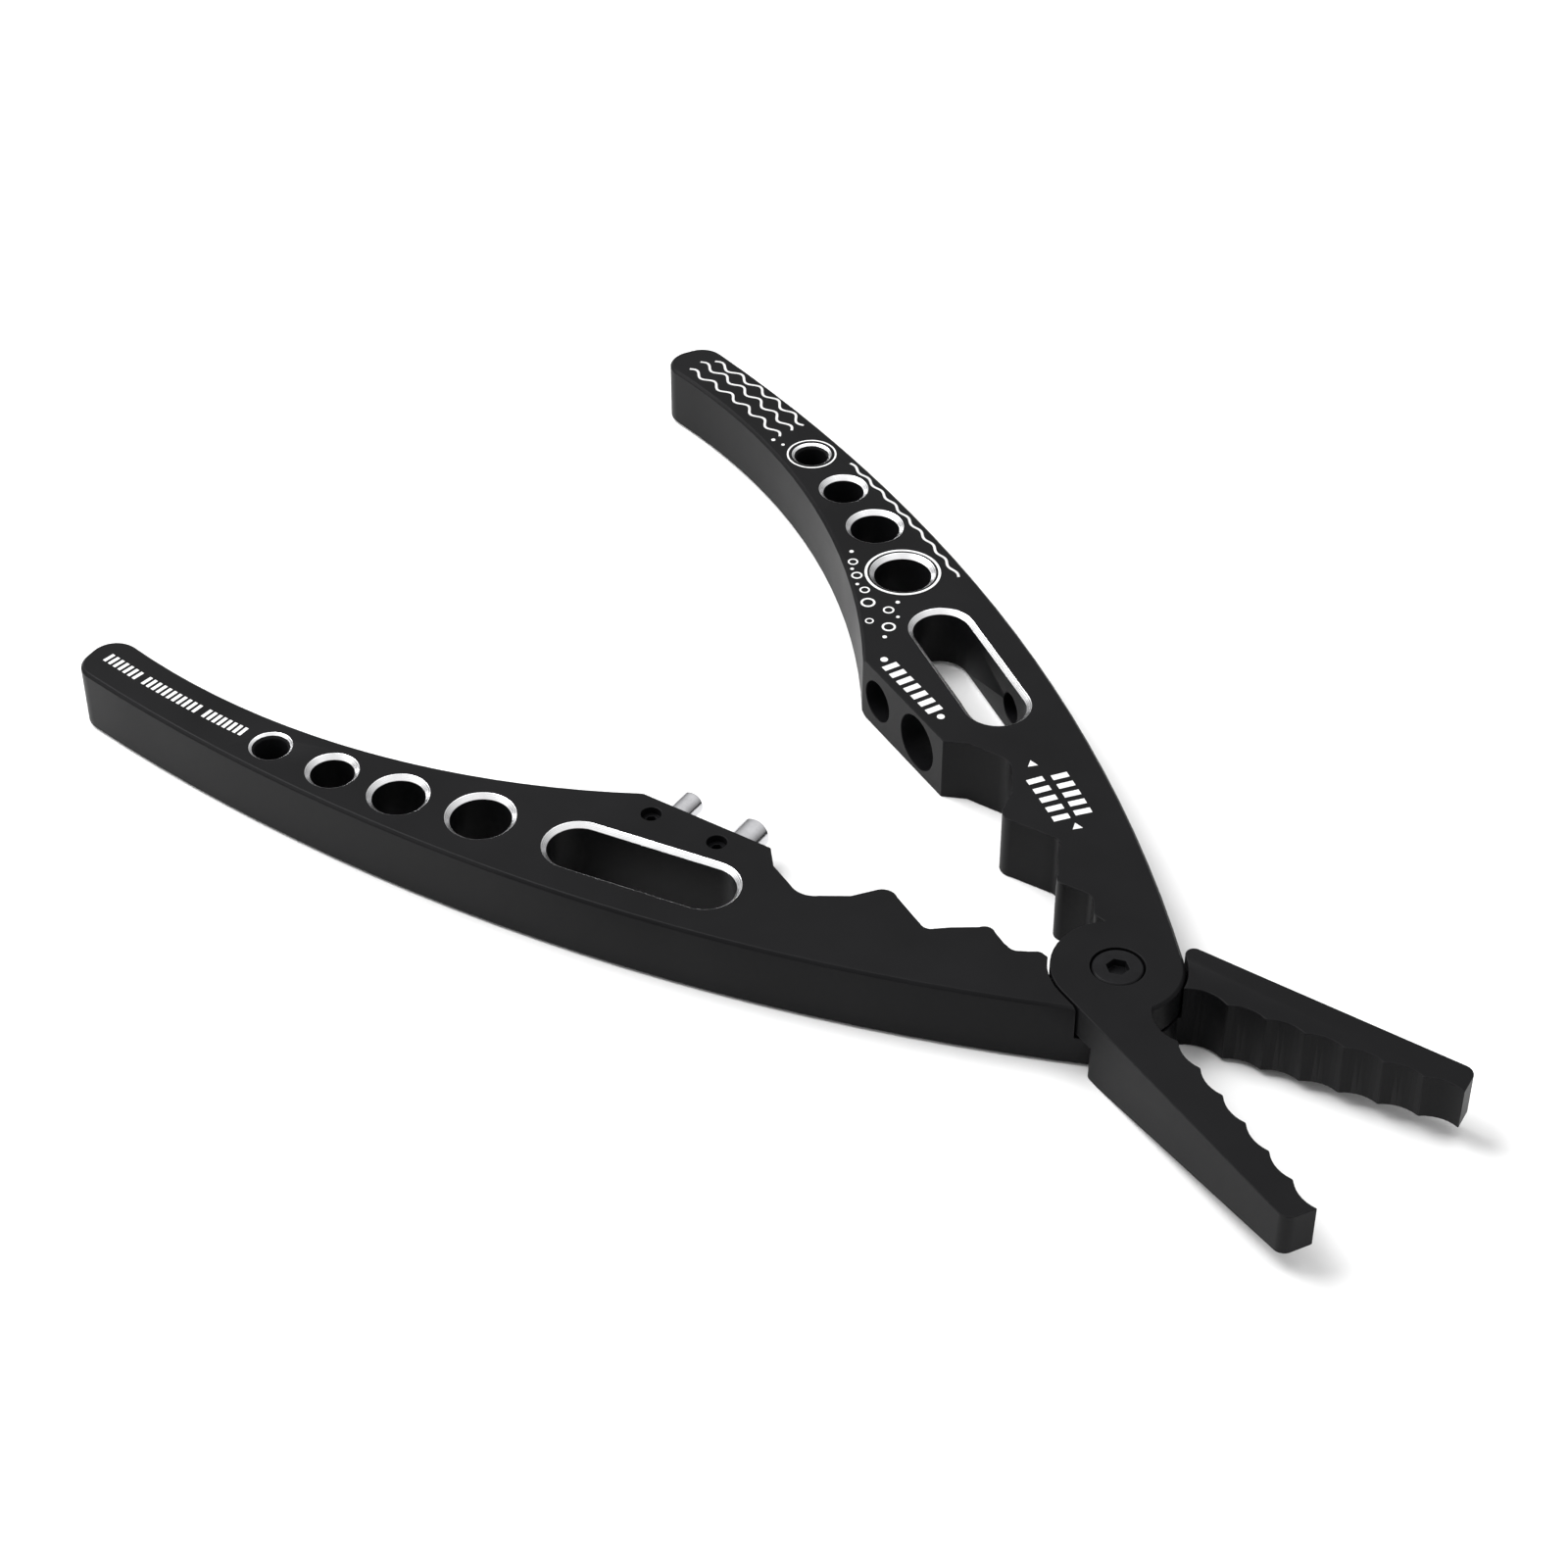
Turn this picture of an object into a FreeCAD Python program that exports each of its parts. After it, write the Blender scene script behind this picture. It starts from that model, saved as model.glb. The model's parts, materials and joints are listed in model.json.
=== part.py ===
"""Fishing pliers: two lapped aluminium arms on one pivot, with push pins and sockets.

The two arms are drawn closed, with the pivot axis as the origin and the jaws
along +X, and are then turned apart to the open stop. +Z is up, z = 0 is the
face that the pliers lie on. Lengths are in millimetres, angles in degrees.
"""
import FreeCAD, Part
import math
import os

import Sketcher

# Driving dimensions: name, value, meaning
DIMENSIONS = [
    ("arm_thickness", 9.2, "full thickness of each arm"),
    ("half_open_angle", 17.3, "turn of each arm from closed to the open stop"),
    ("closed_gap", 0.15, "from jaw teeth to the middle line when closed"),
    ("edge_break", 0.4, "chamfer along the outer handle edges"),
    # Pivot
    ("boss_radius", 8.0, "round lap of each arm at the pivot"),
    ("pocket_clearance", 0.3, "gap round the other arm's lap"),
    ("lap_gap", 0.5, "space between the laps, filled by the thrust washer"),
    ("relief_length", 9.0, "how far the straight pocket sides run outwards"),
    ("stop_sweep_angle", 64.0, "pocket's round stretch beside the stop face"),
    ("flank_sweep_angle", 60.0, "pocket's round stretch beside the jaw relief"),
    ("boss_inner_angle", 161.0, "where the clamp edge leaves the boss"),
    ("barrel_radius", 2.75, "bearing barrel of the pivot nut"),
    ("running_clearance", 0.03, "radial, arm bore on the barrel"),
    ("axial_play", 0.05, "head washer above the upper lap's seat"),
    ("nut_head_radius", 3.6, "flush head of the barrel nut"),
    ("nut_head_height", 1.5, "height of that head"),
    ("screw_radius", 2.0, "thread of the pivot screw"),
    ("thread_clearance", 0.03, "radial, screw in its thread"),
    ("screw_head_radius", 3.1, "low round head of the pivot screw"),
    ("screw_head_height", 1.3, "height of that head"),
    ("screw_head_drop", 0.1, "head top below the arm's top face"),
    ("screw_head_bevel", 0.2, "chamfer round that head"),
    ("screw_key_width", 2.5, "across the flats of its hexagon socket"),
    ("screw_key_depth", 1.1, "depth of that socket"),
    ("screw_reach", 4.4, "screw thread below its head"),
    ("barrel_floor", 0.9, "closed end of the nut under its thread"),
    ("head_clearance", 0.2, "radial, round both pivot heads"),
    ("head_washer_height", 0.4, "spring washer under the screw head"),
    ("thrust_washer_inset", 0.85, "edge of the washer between the laps, inside theirs"),
    # Jaws
    ("jaw_length", 42.9, "pivot to jaw tip"),
    ("flank_angle", 5.05, "outer jaw edge against the middle line"),
    ("root_cusp_angle", 1.0, "where the teeth start on the boss"),
    ("tooth_depth", 0.65, "depth of one scallop"),
    ("crest_radius", 0.4, "rounding of each tooth's crest"),
    ("root_scallop_width", 5.9, "first scallop, next to the pivot"),
    ("root_scallop_depth", 0.95, "depth of that scallop"),
    ("tip_corner_radius", 1.4, "outer corner of the jaw tip"),
    ("root_corner_radius", 1.1, "stop corner of the jaw root"),
    ("taper_setback", 0.75, "from the boss to where the jaw's underside starts to rise"),
    ("taper_rise", 3.4, "rise of the underside at the tip"),
    # Handles
    ("handle_length", 143.3, "pivot to handle end"),
    ("widest_distance", 80.0, "pivot to the widest place of a handle"),
    ("widest_offset", 21.65, "outer edge there, from the middle line"),
    ("tail_outer_offset", 14.3, "outer corner of the handle end"),
    ("tail_inner_offset", 5.6, "inner corner of the handle end"),
    ("tail_corner_radius", 3.5, "rounding of the handle end"),
    ("inner_edge_hollow", 7.45, "depth of the handle's hollow inner edge"),
    # Clamp edge, from the pivot outwards: three lands with a notch behind each.
    # A run goes from its place to the next one, and an offset is from the middle line.
    ("clamp_start", 8.5, "pivot to the front of the first land"),
    ("narrow_land_front_offset", 2.3, "front of the land"),
    ("narrow_land_front_run", 1.1, "from there to the next place"),
    ("narrow_land_tail_offset", 2.35, "tail of the land"),
    ("narrow_land_tail_run", 0.7, "from there to the next place"),
    ("narrow_ramp_offset", 2.75, "foot of the ramp"),
    ("narrow_ramp_run", 0.9, "from there to the next place"),
    ("narrow_floor_front_offset", 3.15, "front of the notch floor"),
    ("narrow_floor_front_run", 1.7, "from there to the next place"),
    ("narrow_floor_tail_offset", 3.1, "tail of the notch floor"),
    ("narrow_floor_tail_run", 0.5, "from there to the next place"),
    ("narrow_shoulder_offset", 2.9, "shoulder behind the notch"),
    ("narrow_shoulder_run", 1.8, "from there to the next place"),
    ("narrow_land_rise", 0.165, "rounding of the land"),
    ("narrow_floor_depth", 0.264, "rounding of the notch floor"),
    ("middle_land_front_offset", 1.7, "front of the land"),
    ("middle_land_front_run", 2.1, "from there to the next place"),
    ("middle_land_tail_offset", 1.75, "tail of the land"),
    ("middle_land_tail_run", 3.0, "from there to the next place"),
    ("middle_ramp_offset", 3.5, "foot of the ramp"),
    ("middle_ramp_run", 1.6, "from there to the next place"),
    ("middle_floor_front_offset", 4.65, "front of the notch floor"),
    ("middle_floor_front_run", 1.8, "from there to the next place"),
    ("middle_floor_tail_offset", 4.65, "tail of the notch floor"),
    ("middle_floor_tail_run", 1.1, "from there to the next place"),
    ("middle_shoulder_offset", 4.0, "shoulder behind the notch"),
    ("middle_shoulder_run", 3.5, "from there to the next place"),
    ("middle_land_rise", 0.534, "rounding of the land"),
    ("middle_floor_depth", 0.362, "rounding of the notch floor"),
    ("wide_land_front_offset", 1.8, "front of the land"),
    ("wide_land_front_run", 2.9, "from there to the next place"),
    ("wide_land_tail_offset", 1.95, "tail of the land"),
    ("wide_land_tail_run", 2.1, "from there to the next place"),
    ("wide_ramp_offset", 4.35, "foot of the ramp"),
    ("wide_ramp_run", 3.3, "from there to the next place"),
    ("wide_floor_front_offset", 6.15, "front of the notch floor"),
    ("wide_floor_front_run", 4.0, "from there to the next place"),
    ("wide_floor_tail_offset", 6.15, "tail of the notch floor"),
    ("wide_floor_tail_run", 3.5, "from there to the next place"),
    ("wide_shoulder_offset", 4.1, "shoulder behind the notch"),
    ("wide_shoulder_run", 1.9, "from there to the next place"),
    ("wide_land_rise", 0.6745, "rounding of the land"),
    ("wide_floor_depth", 0.702, "rounding of the notch floor"),
    # Pin block
    ("block_length", 19.7, "along the middle line"),
    ("block_tail_offset", 0.1, "its tail corner from the middle line"),
    ("block_front_offset", 1.4, "its front corner from the middle line"),
    ("small_pin_station", 3.8, "small pin along the block from its tail corner"),
    ("pin_spacing", 9.8, "from the small pin to the large one"),
    ("small_pin_radius", 1.6, "small push pin"),
    ("large_pin_radius", 2.1, "large push pin"),
    ("pin_reach", 6.7, "how far the pins stand out of the block"),
    ("pin_seat_depth", 6.0, "how deep the pins sit in the block"),
    ("pin_fit", 0.02, "radial, pin in its hole and under its screw"),
    ("small_tip_chamfer", 0.4, "end chamfer of the small pin"),
    ("large_tip_chamfer", 0.9, "end chamfer of the large pin"),
    ("grub_inset", 2.7, "grub screw axis behind the block face"),
    ("grub_radius", 1.25, "grub screw thread"),
    ("grub_drop", 1.0, "grub screw below the top face"),
    ("grub_key_width", 1.3, "across the flats of its hexagon socket"),
    ("grub_key_depth", 1.0, "depth of that socket"),
    ("small_socket_radius", 2.9, "socket facing the small pin"),
    ("large_socket_radius", 3.9, "socket facing the large pin"),
    ("far_hole_radius", 2.1, "clearance hole in the far slot wall"),
    ("far_hole_depth", 3.0, "depth of that hole"),
    # Slot and lightening holes
    ("slot_tail_overhang", 1.2, "slot's tail end centre behind the block's tail corner"),
    ("slot_tail_offset", 12.5, "that centre from the middle line"),
    ("slot_front_setback", 3.6, "slot's front end centre behind the block's front corner"),
    ("slot_front_offset", 11.2, "that centre from the middle line"),
    ("slot_radius", 3.85, "half the slot's width"),
    ("rim_chamfer", 0.65, "bare chamfer round holes and slots"),
    ("hole_a_radius", 2.15, "lanyard hole at the tail"),
    ("hole_b_radius", 2.8, "second hole"),
    ("hole_c_radius", 3.35, "third hole"),
    ("hole_d_radius", 3.85, "largest hole, next to the slot"),
    ("hole_d_spacing", 13.4, "slot's tail end centre to the largest hole"),
    ("hole_c_spacing", 11.2, "largest hole to the third one"),
    ("hole_b_spacing", 9.9, "third hole to the second one"),
    ("hole_a_spacing", 9.6, "second hole to the lanyard hole"),
    ("hole_a_offset", 15.2, "lanyard hole from the middle line"),
    ("hole_b_offset", 15.4, "second hole from the middle line"),
    ("hole_c_offset", 15.2, "third hole from the middle line"),
    ("hole_d_offset", 13.65, "largest hole from the middle line"),
]

NOTCHES = ("narrow", "middle", "wide")
NOTCH_PLACES = ("land_front", "land_tail", "ramp", "floor_front", "floor_tail", "shoulder")
HOLES = ("hole_d", "hole_c", "hole_b", "hole_a")
TEETH = 6
HEXAGON_SIDES = 6
RIGHT_ANGLE = 90.0
HALF_TURN = 180.0

# Working sizes in mm and mm3: how far cuts start outside, which places count as one
# point, how near a corner its edge is looked for, and the least that a cut takes away
OUTSIDE = 1.0
SAME_POINT = 1e-4
NEAR_CORNER = 0.05
LEAST_CUT = 0.01


class Size:
    """A number together with the sheet expression that gives it."""

    def __init__(self, value, text):
        self.value = value
        self.text = text

    def __add__(self, other):
        other = as_size(other)
        return Size(self.value + other.value, f"({self.text} + {other.text})")

    def __sub__(self, other):
        other = as_size(other)
        return Size(self.value - other.value, f"({self.text} - {other.text})")

    def __mul__(self, other):
        other = as_size(other)
        return Size(self.value * other.value, f"({self.text} * {other.text})")

    def __truediv__(self, other):
        other = as_size(other)
        return Size(self.value / other.value, f"({self.text} / {other.text})")

    def __neg__(self):
        return Size(-self.value, f"(0 - {self.text})")


def as_size(number):
    if isinstance(number, Size):
        return number
    return Size(float(number), f"({float(number)})")


def sine(angle):
    angle = as_size(angle)
    return Size(math.sin(math.radians(angle.value)), f"sin({angle.text})")


def cosine(angle):
    angle = as_size(angle)
    return Size(math.cos(math.radians(angle.value)), f"cos({angle.text})")


def tangent(angle):
    angle = as_size(angle)
    return Size(math.tan(math.radians(angle.value)), f"tan({angle.text})")


def arc_tangent(ratio):
    return Size(math.degrees(math.atan(ratio.value)), f"(atan({ratio.text}) / 1 deg)")


os.makedirs("parts", exist_ok=True)
doc = FreeCAD.newDocument("pliers")
sheet = doc.addObject("Spreadsheet::Sheet", "Sizes")
dims = {}


def fill_sheet():
    """Write every driving dimension into the sheet under its own alias."""
    for number, (name, value, meaning) in enumerate(DIMENSIONS, 1):
        sheet.set(f"A{number}", name)
        sheet.set(f"B{number}", str(value))
        sheet.set(f"C{number}", meaning)
        sheet.setAlias(f"B{number}", name)
        dims[name] = Size(float(value), f"Sizes.{name}")
    doc.recompute()


def polar(radius, angle):
    return radius * cosine(angle), radius * sine(angle)


def origin_plane(body, role):
    return [plane for plane in body.Origin.OriginFeatures if plane.Role == role][0]


def new_body(label):
    body = doc.addObject("PartDesign::Body", label)
    body.Label = label
    return body


def new_sketch(body, name, role="XY_Plane", height=0.0):
    """A sketch on one of the body's own origin planes, raised along its normal."""
    sketch = body.newObject("Sketcher::SketchObject", name)
    sketch.AttachmentSupport = [(origin_plane(body, role), "")]
    sketch.MapMode = "FlatFace"
    sketch.setExpression("AttachmentOffset.Base.z", as_size(height).text)
    return sketch


def bind(sketch, constraint, size):
    number = sketch.addConstraint(constraint)
    sketch.setExpression(f"Constraints[{number}]", size.text)


def pin_point(sketch, geometry, end, x, y):
    """Tie one point of a sketch to its two coordinates."""
    for size, word, axis in ((x, "DistanceX", -2), (y, "DistanceY", -1)):
        if abs(size.value) < SAME_POINT:
            sketch.addConstraint(Sketcher.Constraint("PointOnObject", geometry, end, axis))
        else:
            bind(sketch, Sketcher.Constraint(word, geometry, end, size.value), size)


def arc_between(start, end, radius, bend):
    """The arc under a half turn from start to end that turns left (1) or right (-1)."""
    chord = end - start
    middle = (start + end) / 2
    rise = math.sqrt(radius ** 2 - (chord.Length / 2) ** 2)
    normal = FreeCAD.Vector(-chord.y, chord.x, 0).normalize()
    centre = middle + normal * rise * bend
    first, last = (start, end) if bend > 0 else (end, start)
    angles = [math.atan2(point.y - centre.y, point.x - centre.x) for point in (first, last)]
    circle = Part.Circle(centre, FreeCAD.Vector(0, 0, 1), radius)
    return Part.ArcOfCircle(circle, angles[0], angles[1])


def hollow_radius(start, end, depth):
    """Radius of the arc between two places that bulges by a depth."""
    run = end[0] - start[0]
    rise = end[1] - start[1]
    return (run * run + rise * rise) / (depth * 8) + depth / 2


def draw_profile(sketch, corners):
    """Close a profile through corners given as (x, y, arc radius or None, bend)."""
    points = [FreeCAD.Vector(corner[0].value, corner[1].value, 0) for corner in corners]
    ends = []
    for number, (x, y, radius, bend) in enumerate(corners):
        start, end = points[number], points[(number + 1) % len(points)]
        if radius is None:
            sketch.addGeometry(Part.LineSegment(start, end), False)
        else:
            sketch.addGeometry(arc_between(start, end, radius.value, bend), False)
        ends.append((1, 2) if radius is None or bend > 0 else (2, 1))
    for number, (x, y, radius, bend) in enumerate(corners):
        following = (number + 1) % len(corners)
        meeting = (number, ends[number][1], following, ends[following][0])
        sketch.addConstraint(Sketcher.Constraint("Coincident", *meeting))
        pin_point(sketch, number, ends[number][0], x, y)
        if radius is not None:
            bind(sketch, Sketcher.Constraint("Radius", number, radius.value), radius)


def draw_circle(sketch, x, y, radius):
    """Add one circle by its centre and radius."""
    centre = FreeCAD.Vector(x.value, y.value, 0)
    circle = Part.Circle(centre, FreeCAD.Vector(0, 0, 1), radius.value)
    number = sketch.addGeometry(circle, False)
    pin_point(sketch, number, 3, x, y)
    bind(sketch, Sketcher.Constraint("Radius", number, radius.value), radius)


def draw_hexagon(sketch, width):
    """A regular hexagon about the origin, by the width across its flats."""
    corner_radius = width / math.sqrt(3)
    corners = []
    for number in range(HEXAGON_SIDES):
        x, y = polar(corner_radius, as_size((2 * number + 1) * HALF_TURN / HEXAGON_SIDES))
        corners.append((x, y, None, 0))
    draw_profile(sketch, corners)


def draw_slot(sketch, first, second, radius):
    """A slot with round ends about two centres."""
    start = FreeCAD.Vector(first[0].value, first[1].value, 0)
    end = FreeCAD.Vector(second[0].value, second[1].value, 0)
    along = math.atan2(end.y - start.y, end.x - start.x)
    left = along + math.pi / 2
    right = along - math.pi / 2
    side = FreeCAD.Vector(math.cos(left), math.sin(left), 0) * radius.value
    upward = FreeCAD.Vector(0, 0, 1)
    start_circle = Part.Circle(start, upward, radius.value)
    end_circle = Part.Circle(end, upward, radius.value)
    sketch.addGeometry(Part.ArcOfCircle(start_circle, left, right), False)
    sketch.addGeometry(Part.LineSegment(start - side, end - side), False)
    sketch.addGeometry(Part.ArcOfCircle(end_circle, right, left), False)
    sketch.addGeometry(Part.LineSegment(end + side, start + side), False)
    for meeting in ((0, 2, 1, 1), (1, 2, 2, 1), (2, 2, 3, 1), (3, 2, 0, 1)):
        sketch.addConstraint(Sketcher.Constraint("Tangent", *meeting))
    pin_point(sketch, 0, 3, *first)
    pin_point(sketch, 2, 3, *second)
    bind(sketch, Sketcher.Constraint("Radius", 0, radius.value), radius)
    sketch.addConstraint(Sketcher.Constraint("Equal", 0, 2))


def pad(body, name, sketch, length):
    feature = body.newObject("PartDesign::Pad", name)
    feature.Profile = (sketch, [""])
    feature.setExpression("Length", length.text)
    body.Tip = feature
    doc.recompute()
    return feature


def pocket(body, name, sketch, length, upward=False, both_ways=False):
    """Cut a sketch out of the body, and make sure that it took material away."""
    before = body.Shape.Volume
    feature = body.newObject("PartDesign::Pocket", name)
    feature.Profile = (sketch, [""])
    feature.setExpression("Length", length.text)
    feature.Reversed = upward
    feature.Midplane = both_ways
    body.Tip = feature
    doc.recompute()
    require_cut(body, name, before)
    return feature


def require_cut(body, name, before):
    if body.Shape.isNull() or body.Shape.Volume >= before - LEAST_CUT:
        raise RuntimeError(f"{body.Label}: {name} removes nothing")


def drill(body, name, radius, depth, place):
    """Cut a round hole whose mouth and direction are given by a placement text."""
    before = body.Shape.Volume
    feature = body.newObject("PartDesign::SubtractiveCylinder", name)
    feature.setExpression("Radius", radius.text)
    feature.setExpression("Height", depth.text)
    feature.setExpression("Placement", place)
    body.Tip = feature
    doc.recompute()
    require_cut(body, name, before)


def revolve(body, name, sketch):
    feature = body.newObject("PartDesign::Revolution", name)
    feature.Profile = (sketch, [""])
    feature.ReferenceAxis = (sketch, ["V_Axis"])
    feature.Angle = 360
    body.Tip = feature
    doc.recompute()


def dress(body, kind, name, edges, size):
    """Fillet or chamfer the named edges of the body's tip."""
    if not edges:
        raise RuntimeError(f"{body.Label}: {name} found no edge")
    base = body.Tip
    feature = body.newObject(f"PartDesign::{kind}", name)
    feature.Base = (base, edges)
    feature.setExpression("Radius" if kind == "Fillet" else "Size", size.text)
    body.Tip = feature
    doc.recompute()
    if feature.Shape.isNull():
        raise RuntimeError(f"{body.Label}: {name} can't be made")


def upright_edges(shape, places):
    """Names of the straight upright edges at the given plan positions."""
    names = []
    for number, edge in enumerate(shape.Edges, 1):
        foot = edge.Vertexes[0].Point
        head = edge.Vertexes[-1].Point
        if len(edge.Vertexes) < 2 or math.hypot(foot.x - head.x, foot.y - head.y) > SAME_POINT:
            continue
        if any(math.hypot(foot.x - x.value, foot.y - y.value) < NEAR_CORNER for x, y in places):
            names.append(f"Edge{number}")
    return names


def level_edges(shape, heights, wanted):
    """Names of the edges that lie at one of the heights and that wanted() picks."""
    names = []
    for number, edge in enumerate(shape.Edges, 1):
        box = edge.BoundBox
        level = any(max(abs(box.ZMin - z), abs(box.ZMax - z)) < SAME_POINT for z in heights)
        if level and wanted(edge):
            names.append(f"Edge{number}")
    return names


def placement(x, y, z, yaw=0.0, pitch=0.0):
    """Placement text: a move, then a yaw about Z after a pitch about Y."""
    base = "; ".join(as_size(value).text for value in (x, y, z))
    turn = "; ".join(as_size(value).text for value in (yaw, pitch, 0.0))
    return f"create(<<placement>>; create(<<vector>>; {base}); create(<<rotation>>; {turn}))"


def front_edge():
    """Radius of the outer edge in front of the widest place, and its boss angle.

    The arc is level at the widest place and runs smoothly into the boss.
    """
    d = dims
    reach = d["widest_distance"] * d["widest_distance"] + d["widest_offset"] * d["widest_offset"]
    spare = d["widest_offset"] - d["boss_radius"]
    radius = (reach - d["boss_radius"] * d["boss_radius"]) / (spare * 2)
    return radius, arc_tangent((radius - d["widest_offset"]) / d["widest_distance"])


def tail_edge():
    """Radius of the outer edge behind the widest place, level where it starts."""
    run = dims["handle_length"] - dims["widest_distance"]
    fall = dims["widest_offset"] - dims["tail_outer_offset"]
    return (run * run + fall * fall) / (fall * 2)


def arm_turn(side):
    """Placement text that opens one arm from closed: side 1 is the upper arm."""
    return placement(0.0, 0.0, 0.0, dims["half_open_angle"] * -side)


def notch_places(name, start):
    """Six corners of a land and its notch, outwards, and where the next land starts."""
    places = []
    reach = start
    for place in NOTCH_PLACES:
        places.append((-reach, dims[f"{name}_{place}_offset"]))
        reach = reach + dims[f"{name}_{place}_run"]
    return places, reach


def clamp_edge():
    """Profile corners from the wide notch to the first land, and where the block starts."""
    corners = []
    reach = dims["clamp_start"]
    for name in NOTCHES:
        places, reach = notch_places(name, reach)
        land_front, land_tail, ramp, floor_front, floor_tail, shoulder = places
        floor_radius = hollow_radius(floor_tail, floor_front, dims[f"{name}_floor_depth"])
        land_radius = hollow_radius(land_tail, land_front, dims[f"{name}_land_rise"])
        corners = [
            (*shoulder, None, 0),
            (*floor_tail, floor_radius, -1),
            (*floor_front, None, 0),
            (*ramp, None, 0),
            (*land_tail, land_radius, 1),
            (*land_front, None, 0),
        ] + corners
    return corners, reach


def block_ends():
    """Distances from the pivot to the tail and front corners of the block."""
    front = clamp_edge()[1]
    return front + dims["block_length"], front


def block_spot(side, station, depth):
    """Plan position and inward angle on the block face, at a depth behind it."""
    rise = dims["block_front_offset"] - dims["block_tail_offset"]
    slope = arc_tangent(rise / dims["block_length"])
    x = -block_ends()[0] + station * cosine(slope) - depth * sine(slope)
    y = dims["block_tail_offset"] + station * sine(slope) + depth * cosine(slope)
    return x, y * side, (slope + RIGHT_ANGLE) * side


def slot_centres(side):
    """Centres of the slot's two round ends, tail end first."""
    tail, front = block_ends()
    first = (-(tail + dims["slot_tail_overhang"]), dims["slot_tail_offset"] * side)
    second = (-(front + dims["slot_front_setback"]), dims["slot_front_offset"] * side)
    return first, second


def slot_depth(station):
    """Distance along a socket's axis from the block face to the slot's middle."""
    x, y, inward = block_spot(1, station, as_size(0.0))
    tail, front = slot_centres(1)
    run = front[0] - tail[0]
    fall = front[1] - tail[1]
    reach = (tail[1] - y) * run - (tail[0] - x) * fall
    return reach / (sine(inward) * run - cosine(inward) * fall)


def hole_centres(side):
    """Centre and radius of each lightening hole, from the slot to the tail."""
    centres = []
    x = slot_centres(side)[0][0]
    for name in HOLES:
        x = x - dims[f"{name}_spacing"]
        centres.append((name, x, dims[f"{name}_offset"] * side, dims[f"{name}_radius"]))
    return centres


def handle_corners():
    """Outer edge, tail, inner edge, block and clamp edge of the upper arm."""
    d = dims
    front_radius, join_angle = front_edge()
    block_tail, block_front = block_ends()
    tail_corner = (-d["handle_length"], d["tail_inner_offset"])
    block_corner = (-block_tail, d["block_tail_offset"])
    hollow = hollow_radius(tail_corner, block_corner, d["inner_edge_hollow"])
    return [
        (*polar(d["boss_radius"], join_angle), front_radius, 1),
        (-d["widest_distance"], d["widest_offset"], tail_edge(), 1),
        (-d["handle_length"], d["tail_outer_offset"], None, 0),
        (*tail_corner, hollow, -1),
        (*block_corner, None, 0),
        (-block_front, d["block_front_offset"], None, 0),
        *clamp_edge()[0],
        (*polar(d["boss_radius"], d["boss_inner_angle"]), d["boss_radius"], 1),
    ]


def tooth_peaks():
    """Places between the scallops on the upper arm, from the jaw tip to the root scallop."""
    d = dims
    cusp_x = polar(d["boss_radius"], -d["root_cusp_angle"])[0]
    pitch = (d["jaw_length"] - cusp_x - d["root_scallop_width"]) / TEETH
    return [(d["jaw_length"] - pitch * number, -d["closed_gap"]) for number in range(TEETH + 1)]


def jaw_corners():
    """Flank, tip, teeth and boss of the upper arm, from the flank's start."""
    d = dims
    flank_x, flank_y = polar(d["boss_radius"], d["flank_angle"] - RIGHT_ANGLE)
    cusp = polar(d["boss_radius"], -d["root_cusp_angle"])
    peaks = tooth_peaks()
    tooth_radius = hollow_radius(peaks[1], peaks[0], d["tooth_depth"])
    root_radius = hollow_radius(cusp, peaks[TEETH], d["root_scallop_depth"])
    corners = [(flank_x, flank_y, None, 0), (*flank_tip(), None, 0)]
    corners += [(*peak, tooth_radius, -1) for peak in peaks[:TEETH]]
    corners.append((*peaks[TEETH], root_radius, -1))
    corners.append((*cusp, d["boss_radius"], 1))
    return corners


def flank_tip():
    """Outer corner of the jaw tip on the upper arm."""
    d = dims
    drop = d["boss_radius"] / cosine(d["flank_angle"]) - d["jaw_length"] * tangent(d["flank_angle"])
    return d["jaw_length"], -drop


def pocket_corners():
    """The lap pocket: a circle round the boss and two straight reliefs.

    One relief clears the other arm's jaw flank and the other is the stop face
    beside the other arm's handle, both at the open stop.
    """
    d = dims
    radius = d["boss_radius"] + d["pocket_clearance"]
    travel = d["half_open_angle"] * 2
    stop_angle = travel - front_edge()[1]
    relief_angle = travel - d["flank_angle"] + RIGHT_ANGLE
    stop_x, stop_y = polar(radius, stop_angle)
    out_x, out_y = polar(d["relief_length"], stop_angle - RIGHT_ANGLE)
    back_x, back_y = polar(radius, stop_angle - d["stop_sweep_angle"])
    relief_x, relief_y = polar(radius, relief_angle)
    far_x, far_y = polar(d["relief_length"], relief_angle - RIGHT_ANGLE)
    front_x, front_y = polar(radius, relief_angle - d["flank_sweep_angle"])
    return [
        (stop_x, stop_y, None, 0),
        (stop_x + out_x, stop_y + out_y, None, 0),
        (back_x, back_y, radius, -1),
        (relief_x, relief_y, None, 0),
        (relief_x + far_x, relief_y + far_y, None, 0),
        (front_x, front_y, radius, -1),
    ]


def stop_corner(side):
    """Where the stop face meets the jaw flank."""
    d = dims
    stop = math.radians(2 * d["half_open_angle"].value - front_edge()[1].value)
    flank = math.radians(d["flank_angle"].value - RIGHT_ANGLE)
    far = d["boss_radius"].value + d["pocket_clearance"].value
    near = d["boss_radius"].value
    spread = math.sin(flank - stop)
    x = (far * math.sin(flank) - near * math.sin(stop)) / spread
    y = (near * math.cos(stop) - far * math.cos(flank)) / spread
    return as_size(x), as_size(y * side)


def sided(corners, side):
    """The same profile, mirrored over the middle line for the lower arm."""
    return [(x, y * side, radius, bend * side) for x, y, radius, bend in corners]


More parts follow.
